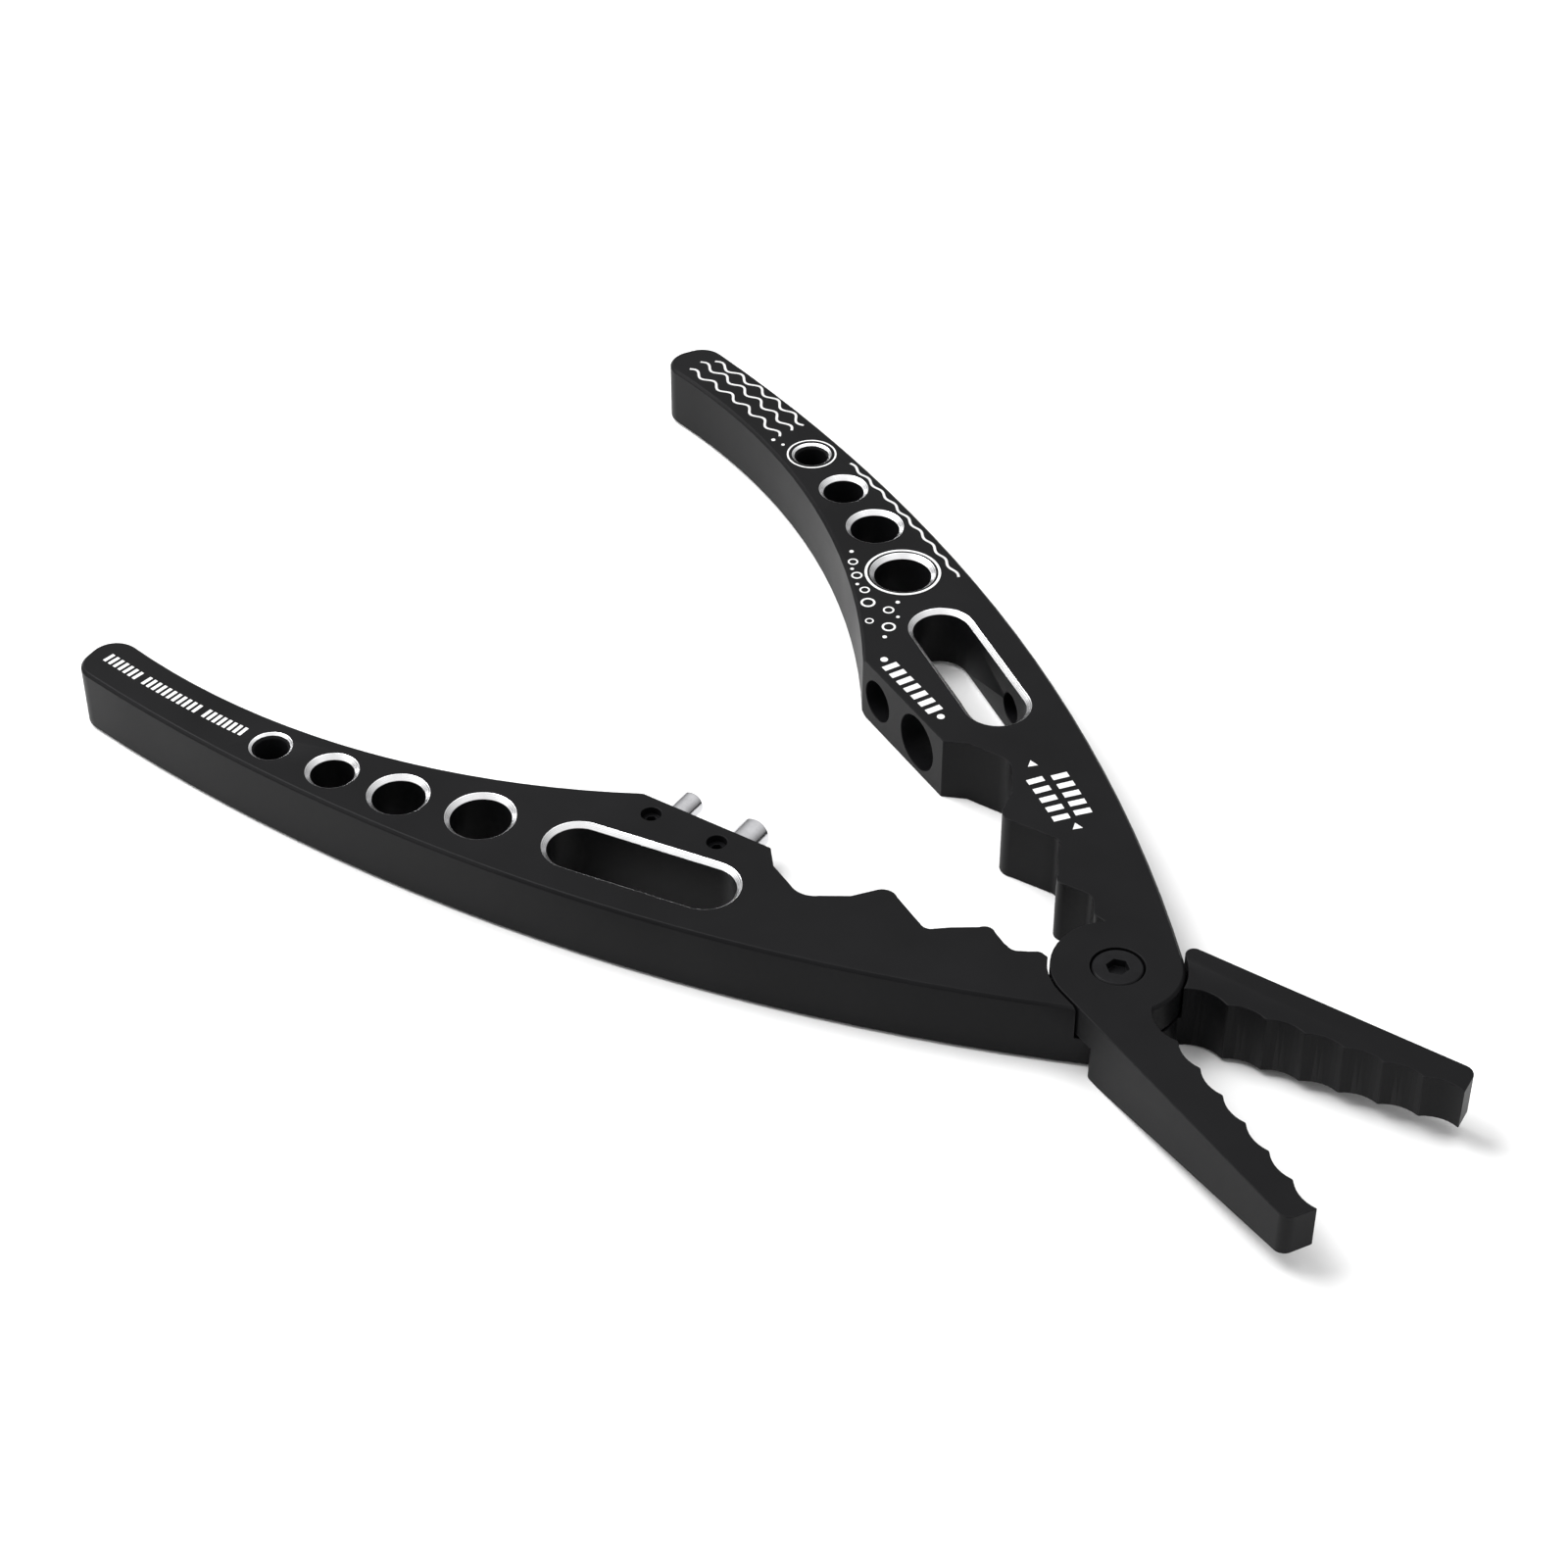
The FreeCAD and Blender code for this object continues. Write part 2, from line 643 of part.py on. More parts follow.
def round_edge(radius):
    """Picks round edges of one radius."""

    def wanted(edge):
        return isinstance(edge.Curve, Part.Circle) and abs(edge.Curve.Radius - radius) < SAME_POINT

    return wanted


def outer_edge(side):
    """Picks the outer handle edges and the edges round the handle's end."""
    wide = -dims["widest_distance"].value
    tail = -dims["handle_length"].value
    is_corner = round_edge(dims["tail_corner_radius"].value)

    def wanted(edge):
        ends = [vertex.Point for vertex in edge.Vertexes]
        outer = any(abs(point.x - wide) < SAME_POINT and point.y * side > 0 for point in ends)
        behind = all(point.x < wide for point in ends)
        flat = all(abs(point.x - tail) < SAME_POINT for point in ends)
        return outer or flat or (behind and is_corner(edge))

    return wanted


def cut_lightening_holes(body, side, heights):
    for name, x, y, radius in hole_centres(side):
        sketch = new_sketch(body, f"{body.Label}_{name}_sketch")
        draw_circle(sketch, x, y, radius)
        through = dims["arm_thickness"] * 2
        pocket(body, f"{body.Label}_{name}", sketch, through, both_ways=True)
        rims = level_edges(body.Shape, heights, round_edge(radius.value))
        dress(body, "Chamfer", f"{body.Label}_{name}_rim", rims, dims["rim_chamfer"])


def cut_slot(body, side, heights):
    sketch = new_sketch(body, f"{body.Label}_slot_sketch")
    draw_slot(sketch, *slot_centres(side), dims["slot_radius"])
    pocket(body, f"{body.Label}_slot", sketch, dims["arm_thickness"] * 2, both_ways=True)
    rims = level_edges(body.Shape, heights, round_edge(dims["slot_radius"].value))
    dress(body, "Chamfer", f"{body.Label}_slot_rim", rims, dims["rim_chamfer"])


def cut_lap(body, side):
    """Cut the half of the pivot where the other arm's lap lies."""
    d = dims
    depth = (d["arm_thickness"] + d["lap_gap"]) / 2
    height = 0.0 if side > 0 else d["arm_thickness"]
    sketch = new_sketch(body, f"{body.Label}_lap_sketch", height=height)
    draw_profile(sketch, sided(pocket_corners(), side))
    pocket(body, f"{body.Label}_lap", sketch, depth, upward=side > 0)
    corner = upright_edges(body.Shape, [stop_corner(side)])
    dress(body, "Fillet", f"{body.Label}_stop_corner", corner, d["root_corner_radius"])


def cut_taper(body):
    """Slope the underside of the jaw up towards its tip."""
    d = dims
    start = d["boss_radius"] + d["taper_setback"]
    past_tip = d["jaw_length"] + OUTSIDE
    slope = d["taper_rise"] / (d["jaw_length"] - start)
    sketch = new_sketch(body, f"{body.Label}_taper_sketch", "XZ_Plane")
    draw_profile(sketch, [
        (start, as_size(0.0), None, 0),
        (start, as_size(-OUTSIDE), None, 0),
        (past_tip, as_size(-OUTSIDE), None, 0),
        (past_tip, d["taper_rise"] + slope * OUTSIDE, None, 0),
    ])
    pocket(body, f"{body.Label}_taper", sketch, d["boss_radius"] * 4, both_ways=True)


def build_arm(label, side):
    """One arm up to the pivot holes: side 1 is the upper lap, -1 the lower one."""
    d = dims
    body = new_body(label)
    outline = new_sketch(body, f"{label}_outline")
    draw_profile(outline, sided(jaw_corners() + handle_corners(), side))
    pad(body, f"{label}_plate", outline, d["arm_thickness"])
    tip_x, tip_y = flank_tip()
    tip = upright_edges(body.Shape, [(tip_x, tip_y * side)])
    dress(body, "Fillet", f"{label}_tip_corner", tip, d["tip_corner_radius"])
    crests = upright_edges(body.Shape, [(x, y * side) for x, y in tooth_peaks()[1:]])
    dress(body, "Fillet", f"{label}_crests", crests, d["crest_radius"])
    offsets = [d["tail_outer_offset"], d["tail_inner_offset"]]
    tail = [(-d["handle_length"], offset * side) for offset in offsets]
    corners = upright_edges(body.Shape, tail)
    dress(body, "Fillet", f"{label}_tail_corners", corners, d["tail_corner_radius"])
    heights = (0.0, d["arm_thickness"].value)
    outer = level_edges(body.Shape, heights, outer_edge(side))
    dress(body, "Chamfer", f"{label}_edge_break", outer, d["edge_break"])
    cut_lap(body, side)
    cut_taper(body)
    cut_lightening_holes(body, side, heights)
    cut_slot(body, side, heights)
    body.setExpression("Placement", arm_turn(side))
    return body


def build_pin_arm():
    """Lower arm: nut recess under the pivot, pin holes and grub screw holes."""
    d = dims
    body = build_arm("pin_arm", -1)
    recess = d["nut_head_radius"] + d["head_clearance"]
    depth = d["nut_head_height"] + OUTSIDE
    drill(body, "nut_recess", recess, depth, placement(0.0, 0.0, -OUTSIDE))
    bore = d["barrel_radius"] + d["running_clearance"]
    drill(body, "lower_bore", bore, d["arm_thickness"], placement(0.0, 0.0, 0.0))
    middle = d["arm_thickness"] / 2
    for size, station in pin_stations():
        radius = d[f"{size}_pin_radius"] + d["pin_fit"]
        depth = d["pin_seat_depth"] + d["pin_fit"]
        x, y, inward = block_spot(-1, station, as_size(-OUTSIDE))
        place = placement(x, y, middle, inward, RIGHT_ANGLE)
        drill(body, f"{size}_pin_hole", radius, depth + OUTSIDE, place)
        x, y, inward = block_spot(-1, station, d["grub_inset"])
        thread = d["grub_radius"] + d["thread_clearance"]
        drill(body, f"{size}_grub_hole", thread, middle + OUTSIDE, placement(x, y, middle))
    return body


def build_socket_arm():
    """Upper arm: head recess over the pivot, and the sockets into the slot."""
    d = dims
    body = build_arm("socket_arm", 1)
    top = d["arm_thickness"] + OUTSIDE
    recess = d["screw_head_radius"] + d["head_clearance"]
    floor = head_seat() - d["axial_play"]
    drill(body, "head_recess", recess, top - floor, placement(0.0, 0.0, floor))
    bore = d["barrel_radius"] + d["running_clearance"]
    drill(body, "upper_bore", bore, d["arm_thickness"], placement(0.0, 0.0, 0.0))
    middle = d["arm_thickness"] / 2
    for size, station in pin_stations():
        x, y, inward = block_spot(1, station, as_size(-OUTSIDE))
        depth = slot_depth(station) + OUTSIDE
        place = placement(x, y, middle, inward, RIGHT_ANGLE)
        drill(body, f"{size}_socket", d[f"{size}_socket_radius"], depth, place)
    x, y, inward = block_spot(1, station, slot_depth(station))
    depth = d["slot_radius"] + d["far_hole_depth"]
    place = placement(x, y, middle, inward, RIGHT_ANGLE)
    drill(body, "far_hole", d["far_hole_radius"], depth, place)
    return body


def pin_stations():
    first = dims["small_pin_station"]
    return [("small", first), ("large", first + dims["pin_spacing"])]


def head_seat():
    """Height of the barrel's upper end, where the head washer sits."""
    d = dims
    stack = d["screw_head_drop"] + d["screw_head_height"] + d["head_washer_height"]
    return d["arm_thickness"] - stack


def build_pivot_nut():
    """Barrel nut: a flush head under the lower arm and a bearing barrel."""
    d = dims
    body = new_body("barrel_nut")
    sketch = new_sketch(body, "barrel_nut_profile", "XZ_Plane")
    thread = d["screw_radius"] + d["thread_clearance"]
    draw_profile(sketch, [
        (as_size(0.0), as_size(0.0), None, 0),
        (d["nut_head_radius"], as_size(0.0), None, 0),
        (d["nut_head_radius"], d["nut_head_height"], None, 0),
        (d["barrel_radius"], d["nut_head_height"], None, 0),
        (d["barrel_radius"], head_seat(), None, 0),
        (thread, head_seat(), None, 0),
        (thread, d["barrel_floor"], None, 0),
        (as_size(0.0), d["barrel_floor"], None, 0),
    ])
    revolve(body, "barrel_nut_turned", sketch)
    return body


def build_pivot_screw():
    """Low-head screw that holds the stack, with a hexagon socket."""
    d = dims
    body = new_body("pivot_screw")
    top = d["arm_thickness"] - d["screw_head_drop"]
    seat = top - d["screw_head_height"]
    sketch = new_sketch(body, "pivot_screw_profile", "XZ_Plane")
    bevel = d["screw_head_bevel"]
    draw_profile(sketch, [
        (as_size(0.0), seat - d["screw_reach"], None, 0),
        (d["screw_radius"], seat - d["screw_reach"], None, 0),
        (d["screw_radius"], seat, None, 0),
        (d["screw_head_radius"], seat, None, 0),
        (d["screw_head_radius"], top - bevel, None, 0),
        (d["screw_head_radius"] - bevel, top, None, 0),
        (as_size(0.0), top, None, 0),
    ])
    revolve(body, "pivot_screw_turned", sketch)
    key = new_sketch(body, "pivot_screw_key_sketch", height=top)
    draw_hexagon(key, d["screw_key_width"])
    pocket(body, "pivot_screw_key", key, d["screw_key_depth"])
    return body


def build_washer(label, outer, inner, bottom, height):
    body = new_body(label)
    sketch = new_sketch(body, f"{label}_sketch", height=bottom)
    draw_circle(sketch, as_size(0.0), as_size(0.0), outer)
    draw_circle(sketch, as_size(0.0), as_size(0.0), inner)
    pad(body, f"{label}_disc", sketch, height)
    return body


def build_push_pin(size, station):
    """A straight steel pin with a chamfered end, seated in the lower arm."""
    d = dims
    body = new_body(f"{size}_push_pin")
    radius = d[f"{size}_pin_radius"]
    chamfer = d[f"{size}_tip_chamfer"]
    length = d["pin_seat_depth"] + d["pin_reach"]
    sketch = new_sketch(body, f"{size}_push_pin_profile", "XZ_Plane")
    draw_profile(sketch, [
        (as_size(0.0), as_size(0.0), None, 0),
        (radius, as_size(0.0), None, 0),
        (radius, length - chamfer, None, 0),
        (radius - chamfer, length, None, 0),
        (as_size(0.0), length, None, 0),
    ])
    revolve(body, f"{size}_push_pin_turned", sketch)
    x, y, inward = block_spot(-1, station, d["pin_seat_depth"])
    place = placement(x, y, d["arm_thickness"] / 2, inward + HALF_TURN, RIGHT_ANGLE)
    body.setExpression("Placement", f"{arm_turn(-1)} * {place}")
    return body


def build_grub_screw(size, station):
    """A headless screw that locks one push pin from the top face."""
    d = dims
    body = new_body(f"{size}_pin_grub_screw")
    bottom = d["arm_thickness"] / 2 + d[f"{size}_pin_radius"] + d["pin_fit"]
    height = d["arm_thickness"] - d["grub_drop"] - bottom
    sketch = new_sketch(body, f"{size}_grub_sketch")
    draw_circle(sketch, as_size(0.0), as_size(0.0), d["grub_radius"])
    pad(body, f"{size}_grub_rod", sketch, height)
    key = new_sketch(body, f"{size}_grub_key_sketch", height=height)
    draw_hexagon(key, d["grub_key_width"])
    pocket(body, f"{size}_grub_key", key, d["grub_key_depth"])
    x, y, inward = block_spot(-1, station, d["grub_inset"])
    body.setExpression("Placement", f"{arm_turn(-1)} * {placement(x, y, bottom)}")
    return body


def build_all():
    d = dims
    bodies = [build_pin_arm(), build_socket_arm(), build_pivot_nut(), build_pivot_screw()]
    bearing = d["barrel_radius"] + d["running_clearance"]
    lower_lap = (d["arm_thickness"] - d["lap_gap"]) / 2
    rim = d["boss_radius"] - d["thrust_washer_inset"]
    bodies.append(build_washer("thrust_washer", rim, bearing, lower_lap, d["lap_gap"]))
    thread = d["screw_radius"] + d["thread_clearance"]
    height = d["head_washer_height"]
    head = build_washer("head_washer", d["screw_head_radius"], thread, head_seat(), height)
    bodies.append(head)
    for size, station in pin_stations():
        bodies.append(build_push_pin(size, station))
        bodies.append(build_grub_screw(size, station))
    return bodies


def check_and_write(bodies):
    """Stop on any failed object or bad shape, then write one file per piece."""
    doc.recompute()
    for item in doc.Objects:
        if any(word in state for state in item.State for word in ("Invalid", "Error")):
            raise RuntimeError(f"{item.Label} failed: {item.State}")
    for body in bodies:
        shape = body.Shape
        if shape.isNull() or not shape.isValid() or shape.Volume <= 0:
            raise RuntimeError(f"{body.Label} has no valid solid")
        print(f"{body.Label}: {len(shape.Solids)} solid, {shape.Volume:.2f} mm3")
    for body in bodies:
        body.Shape.exportStep(f"parts/{body.Label}.step")


fill_sheet()
check_and_write(build_all())
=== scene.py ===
import json
import math

import bmesh
import bpy
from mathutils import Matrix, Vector


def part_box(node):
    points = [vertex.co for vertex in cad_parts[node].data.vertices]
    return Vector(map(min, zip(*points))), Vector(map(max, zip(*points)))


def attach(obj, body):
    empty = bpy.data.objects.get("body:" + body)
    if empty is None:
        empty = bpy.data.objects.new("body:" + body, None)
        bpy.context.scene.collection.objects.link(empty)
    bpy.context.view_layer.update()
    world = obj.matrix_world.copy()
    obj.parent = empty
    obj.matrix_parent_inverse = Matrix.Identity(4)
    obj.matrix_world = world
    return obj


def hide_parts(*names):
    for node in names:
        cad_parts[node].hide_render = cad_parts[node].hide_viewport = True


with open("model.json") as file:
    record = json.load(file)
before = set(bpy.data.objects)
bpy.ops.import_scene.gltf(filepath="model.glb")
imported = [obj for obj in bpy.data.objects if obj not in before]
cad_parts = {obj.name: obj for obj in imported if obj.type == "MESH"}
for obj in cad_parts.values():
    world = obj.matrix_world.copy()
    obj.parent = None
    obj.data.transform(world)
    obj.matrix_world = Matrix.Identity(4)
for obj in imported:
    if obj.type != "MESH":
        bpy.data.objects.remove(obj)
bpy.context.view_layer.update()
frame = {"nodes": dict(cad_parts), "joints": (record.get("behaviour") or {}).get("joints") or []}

bl_info = {
    "name": "Fishing Pliers Finish",
    "version": (1, 0, 0),
    "blender": (4, 5, 0),
    "location": "3D View > Sidebar > Pliers",
    "description": "Finishes the arms, pins, pivot and marks of the pliers in a plain studio",
    "category": "Object",
}

MM = 0.001
ARM_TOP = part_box("socket_arm")[1].z

# The finished arms' top faces lie this much under the model's, so that marks stay inside it
MARK_ROOM = 0.025 * MM
MARK_HEIGHT = 0.03 * MM
MARK_MIDDLE = ARM_TOP - 0.02 * MM

# A rim's faces slant at about 45 degrees, so the upward part of their normal lies
# between these. They come this close to a flat side of the arm, and lie no farther
# than this from the rim's middle.
RIM_SLANTS = (0.6, 0.8)
FLAT_SIDE_MARGIN = 0.1 * MM
RIM_REACH = 15 * MM

# The toothed jaws start here, in front of the pivot. Inner corners of one crest are
# this close together, and farther than the margin from the jaw's flat sides. A face
# looks down or stands upright by the upward part of its normal.
JAW_START = 11.5 * MM
CREST_REACH = 0.8 * MM
CREST_MARGIN = 0.02 * MM
FACES_DOWN = -0.9
STANDS_UPRIGHT = 0.1

# Corners closer than this are one, and faces that turn by less than this are one
SAME_PLACE = 0.002 * MM
SAME_PLANE = math.radians(0.15)

# Corners that turn by more than this are edges and get a small bevel
SHARP_ANGLE = math.radians(34.0)

# Each arm is drawn closed, with the pivot as origin and the jaws along +X, and
# is then turned open about the pivot. Side 1 is the socket arm, -1 the pin arm.
OPEN_ANGLE = math.radians(frame["joints"][0]["range_deg"][1] / 2)
HALF_OPEN = {1: -OPEN_ANGLE, -1: OPEN_ANGLE}

# The frame's nodes that get a finished copy, and its name. An arm's body comes third,
# and everything else rides on the lower arm.
ARMS = (
    ("pin_arm", "pin_arm_finish", "lower_arm"),
    ("socket_arm", "socket_arm_finish", "upper_arm"),
)
PINS = (("small_push_pin", "small_pin_finish"), ("large_push_pin", "large_pin_finish"))
SCREWS = (
    ("small_pin_grub_screw", "small_grub_screw_finish"),
    ("large_pin_grub_screw", "large_grub_screw_finish"),
    ("pivot_screw", "pivot_screw_finish"),
)
PIVOT_STACK = ("barrel_nut", "thrust_washer", "head_washer")

# Marks on the arms' top faces, in an arm's closed frame, in mm. A path bends through
# three places, and a wave's path also has its share of the swing and its number of
# waves. A spot has a place and a radius.
PATH_STEPS = 24
TICK_PATHS = (
    ((-140.2, 10.65), (-137.4, 11.25), (-134.6, 11.85)),
    ((-132.9, 12.15), (-128.3, 12.95), (-123.7, 13.65)),
    ((-122.0, 13.85), (-118.9, 14.25), (-115.8, 14.55)),
)
BAR_PATHS = (
    ((-62.6, 2.6), (-57.4, 3.0), (-52.2, 3.4)),
    ((-34.0, 8.1), (-30.2, 7.8), (-26.4, 7.4)),
    ((-33.4, 11.3), (-29.8, 10.9), (-26.2, 10.4)),
)
END_DOTS = ((-64.3, 2.5, 0.5), (-50.5, 3.5, 0.5))
TRIANGLES = ((-37.0, 9.3, 0.75), (-24.0, 8.3, 0.75))
TRIANGLE_TURN = math.radians(30.0)
WAVE_PATHS = (
    (((-138.6, 9.0), (-128.0, 11.6), (-117.0, 13.1)), 1.0, 5.5),
    (((-139.6, 11.2), (-128.6, 13.9), (-117.6, 15.3)), 1.0, 5.5),
    (((-138.8, 13.2), (-128.2, 16.0), (-118.0, 17.4)), 1.0, 5.0),
    (((-106.5, 19.05), (-91.3, 20.0), (-76.0, 19.9)), 0.45, 8.5),
)
WAVE_STEPS = 220
BUBBLES = (
    (-85.4, 8.7, 0.6), (-82.4, 7.75, 0.65), (-79.0, 7.2, 0.6), (-76.3, 6.3, 0.85),
    (-73.6, 8.0, 0.65), (-72.6, 4.6, 0.5), (-70.3, 6.3, 0.8),
)
BUBBLE_LINE = 0.35
RIPPLES = ((-80.3, 13.65, 5.0), (-111.0, 15.2, 3.4))
RIPPLE_LINE = 0.07
DOTS = (
    (-87.6, 9.6, 0.3), (-84.0, 7.85, 0.25), (-80.6, 6.9, 0.25), (-74.6, 9.9, 0.3),
    (-71.7, 8.4, 0.25), (-68.6, 4.8, 0.3), (-116.6, 11.9, 0.3), (-114.9, 12.6, 0.25),
)

# The studio's lamps: name, place and side in metres, and share of the lamps' power
LAMPS = (
    ("key_lamp", (-0.5, -0.25, 0.7), 0.6, 1.0),
    ("fill_lamp", (0.15, 0.2, 0.95), 0.5, 0.2),
)
LAMP_TARGET = (-0.05, 0.0, 0.0)
FLOOR_DROP = 0.05 * MM
SENSOR_WIDTH = 36.0


def mark_place(side, x, y):
    """Where a mark stands on an opened arm, in metres, from its place on the closed arm, in mm."""
    turn = HALF_OPEN[side]
    y *= side
    across = x * math.cos(turn) - y * math.sin(turn)
    along = x * math.sin(turn) + y * math.cos(turn)
    return across * MM, along * MM, MARK_MIDDLE


# Node trees


def add_node(tree, kind, **settings):
    """A node of a tree, with its own settings and the values of its named inputs."""
    node = tree.nodes.new(kind)
    inputs = settings.pop("inputs", {})
    for key, value in settings.items():
        setattr(node, key, value)
    for key, value in inputs.items():
        if isinstance(value, bpy.types.NodeSocket):
            tree.links.new(value, node.inputs[key])
        else:
            node.inputs[key].default_value = value
    return node


def add_math(tree, operation, first, second=0.0):
    node = add_node(tree, "ShaderNodeMath", operation=operation, inputs={0: first, 1: second})
    return node.outputs[0]


def add_sockets(tree, direction, sockets):
    """Named sockets of a node group: name, type and, for an input, its default."""
    for name, kind, *default in sockets:
        socket = tree.interface.new_socket(
            name, in_out=direction, socket_type=f"NodeSocket{kind}")
        if default:
            socket.default_value = default[0]


def shader_group(name, inputs, outputs):
    """An empty shader node group with its two end nodes."""
    tree = bpy.data.node_groups.new(name, "ShaderNodeTree")
    add_sockets(tree, "INPUT", inputs)
    add_sockets(tree, "OUTPUT", outputs)
    given = tree.nodes.new("NodeGroupInput").outputs
    return tree, given, tree.nodes.new("NodeGroupOutput").inputs


def blast_grain():
    """Fine pitting of bead-blasted metal, and slow cloudy differences over it."""
    if "Blast Grain" in bpy.data.node_groups:
        return bpy.data.node_groups["Blast Grain"]
    tree, given, result = shader_group(
        "Blast Grain",
        [("Position", "Vector"), ("Grain per Metre", "Float", 5200.0),
         ("Cloud per Metre", "Float", 60.0)],
        [("Height", "Float"), ("Cloud", "Float")],
    )
    pits = add_node(tree, "ShaderNodeTexNoise", inputs={
        "Vector": given["Position"], "Scale": given["Grain per Metre"],
        "Detail": 3.0, "Roughness": 0.6})
    cloud = add_node(tree, "ShaderNodeTexNoise", inputs={
        "Vector": given["Position"], "Scale": given["Cloud per Metre"],
        "Detail": 4.0, "Roughness": 0.55})
    tree.links.new(pits.outputs["Fac"], result["Height"])
    tree.links.new(cloud.outputs["Fac"], result["Cloud"])
    return tree


def edge_rub_and_highlight():
    """Where a corner has been rubbed and where a painted highlight line runs along it: 1 on sharp
    edges, broken up by grain.
    """
    if "Edge Wear" in bpy.data.node_groups:
        return bpy.data.node_groups["Edge Wear"]
    tree, given, result = shader_group(
        "Edge Wear",
        [("Position", "Vector"), ("Width", "Float", 0.3 * MM),
         ("Patches per Metre", "Float", 900.0)],
        [("Wear", "Float")],
    )
    rounded = add_node(tree, "ShaderNodeBevel", samples=6, inputs={"Radius": given["Width"]})
    flat = add_node(tree, "ShaderNodeNewGeometry")
    turn = add_node(tree, "ShaderNodeVectorMath", operation="DOT_PRODUCT", inputs={
        0: rounded.outputs["Normal"], 1: flat.outputs["Normal"]})
    edge = add_node(tree, "ShaderNodeMapRange", inputs={
        "Value": turn.outputs["Value"], "From Min": 0.995, "From Max": 0.8})
    patches = add_node(tree, "ShaderNodeTexNoise", inputs={
        "Vector": given["Position"], "Scale": given["Patches per Metre"], "Detail": 3.0})
    broken = add_node(tree, "ShaderNodeMapRange", inputs={
        "Value": patches.outputs["Fac"], "From Min": 0.35, "From Max": 0.65})
    # The edge mask stands for rubbed corners and also paints highlight lines along the sharp edges
    rub_and_highlight = add_math(tree, "MULTIPLY", edge.outputs["Result"], broken.outputs["Result"])
    tree.links.new(rub_and_highlight, result["Wear"])
    return tree


def cutter_lines():
    """Fine parallel tool lines along one axis of the given position."""
    if "Cutter Lines" in bpy.data.node_groups:
        return bpy.data.node_groups["Cutter Lines"]
    tree, given, result = shader_group(
        "Cutter Lines",
        [("Position", "Vector"), ("Lines per Metre", "Float", 6000.0),
         ("Along", "Vector", (0.0, 0.0, 1.0))],
        [("Height", "Float")],
    )
    station = add_node(tree, "ShaderNodeVectorMath", operation="DOT_PRODUCT", inputs={
        0: given["Position"], 1: given["Along"]})
    lines = add_node(tree, "ShaderNodeTexNoise", noise_dimensions="1D", inputs={
        "W": station.outputs["Value"], "Scale": given["Lines per Metre"], "Detail": 2.0})
    tree.links.new(lines.outputs["Fac"], result["Height"])
    return tree


def add_group(tree, group, **inputs):
    """Place a node group in a material with this material's own values."""
    node = tree.nodes.new("ShaderNodeGroup")
    node.node_tree = group
    for key, value in inputs.items():
        socket = node.inputs[key.replace("_", " ")]
        if isinstance(value, bpy.types.NodeSocket):
            tree.links.new(value, socket)
        else:
            socket.default_value = value
    return node.outputs


def new_material(name):
    """A material with one Principled shader, and its place on the object's own mesh."""
    material = bpy.data.materials.new(name)
    material.use_nodes = True
    tree = material.node_tree
    tree.nodes.clear()
    shader = tree.nodes.new("ShaderNodeBsdfPrincipled")
    output = tree.nodes.new("ShaderNodeOutputMaterial")
    tree.links.new(shader.outputs["BSDF"], output.inputs["Surface"])
    place = tree.nodes.new("ShaderNodeTexCoord").outputs["Object"]
    return material, tree, shader, place


def shade(colour, share=1.0):
    """A colour made darker or paler, with an alpha of 1."""
    return tuple(channel * share for channel in colour) + (1.0,)


def mix_colours(tree, share, first, second):
    node = add_node(tree, "ShaderNodeMix", data_type="RGBA", inputs={0: share, 6: first, 7: second})
    return node.outputs[2]


def blend_range(tree, value, low=0.0, high=1.0):
    """Stretch a noise value's middle part between two ends."""
    node = add_node(tree, "ShaderNodeMapRange", inputs={
        "Value": value, "From Min": 0.3, "From Max": 0.7, "To Min": low, "To Max": high})
    return node.outputs["Result"]


def add_bump(tree, shader, height, depth):
    node = add_node(tree, "ShaderNodeBump", inputs={
        "Height": height, "Distance": depth, "Strength": 1.0})
    tree.links.new(node.outputs["Normal"], shader.inputs["Normal"])


def anodised_material(sizes):
    """Satin black anodising: blasted grain, faint clouds and paler corners, partly rubbed anodising
    and partly a painted highlight along the edges.
    """
    material, tree, shader, place = new_material("Satin Black Anodising")
    grain = add_group(tree, blast_grain(), Position=place, Grain_per_Metre=sizes.grain_density)
    rub_and_highlight = add_group(tree, edge_rub_and_highlight(), Position=place, Width=sizes.wear_width)
    dark, pale = shade(sizes.anodised_colour, 0.75), shade(sizes.anodised_colour, 1.3)
    base = mix_colours(tree, blend_range(tree, grain["Cloud"]), dark, pale)
    # Paler sharp edges: partly rubbed anodising, partly a painted highlight line where the edges
    # catch the light
    share = add_math(tree, "MULTIPLY", rub_and_highlight["Wear"], sizes.rub_and_highlight_share)
    colour = mix_colours(tree, share, base, shade(sizes.rubbed_and_highlit_colour))
    tree.links.new(colour, shader.inputs["Base Color"])
    rough = sizes.anodised_roughness
    roughness = blend_range(tree, grain["Cloud"], rough - 0.04, rough + 0.04)
    tree.links.new(roughness, shader.inputs["Roughness"])
    shader.inputs["Specular IOR Level"].default_value = 0.1
    add_bump(tree, shader, grain["Height"], 0.006 * MM)
    return material


def bare_material(sizes):
    """Bright aluminium where a cutter went through the anodising."""
    material, tree, shader, place = new_material("Bare Cut Aluminium")
    lines = add_group(tree, cutter_lines(), Position=place, Lines_per_Metre=9000.0)
    grain = add_group(tree, blast_grain(), Position=place, Cloud_per_Metre=400.0)
    dull, bright = shade(sizes.bare_colour, 0.86), shade(sizes.bare_colour)
    colour = mix_colours(tree, blend_range(tree, grain["Cloud"]), dull, bright)
    tree.links.new(colour, shader.inputs["Base Color"])
    shader.inputs["Metallic"].default_value = 1.0
    tree.links.new(blend_range(tree, lines["Height"], 0.22, 0.36), shader.inputs["Roughness"])
    add_bump(tree, shader, lines["Height"], 0.004 * MM)
    return material


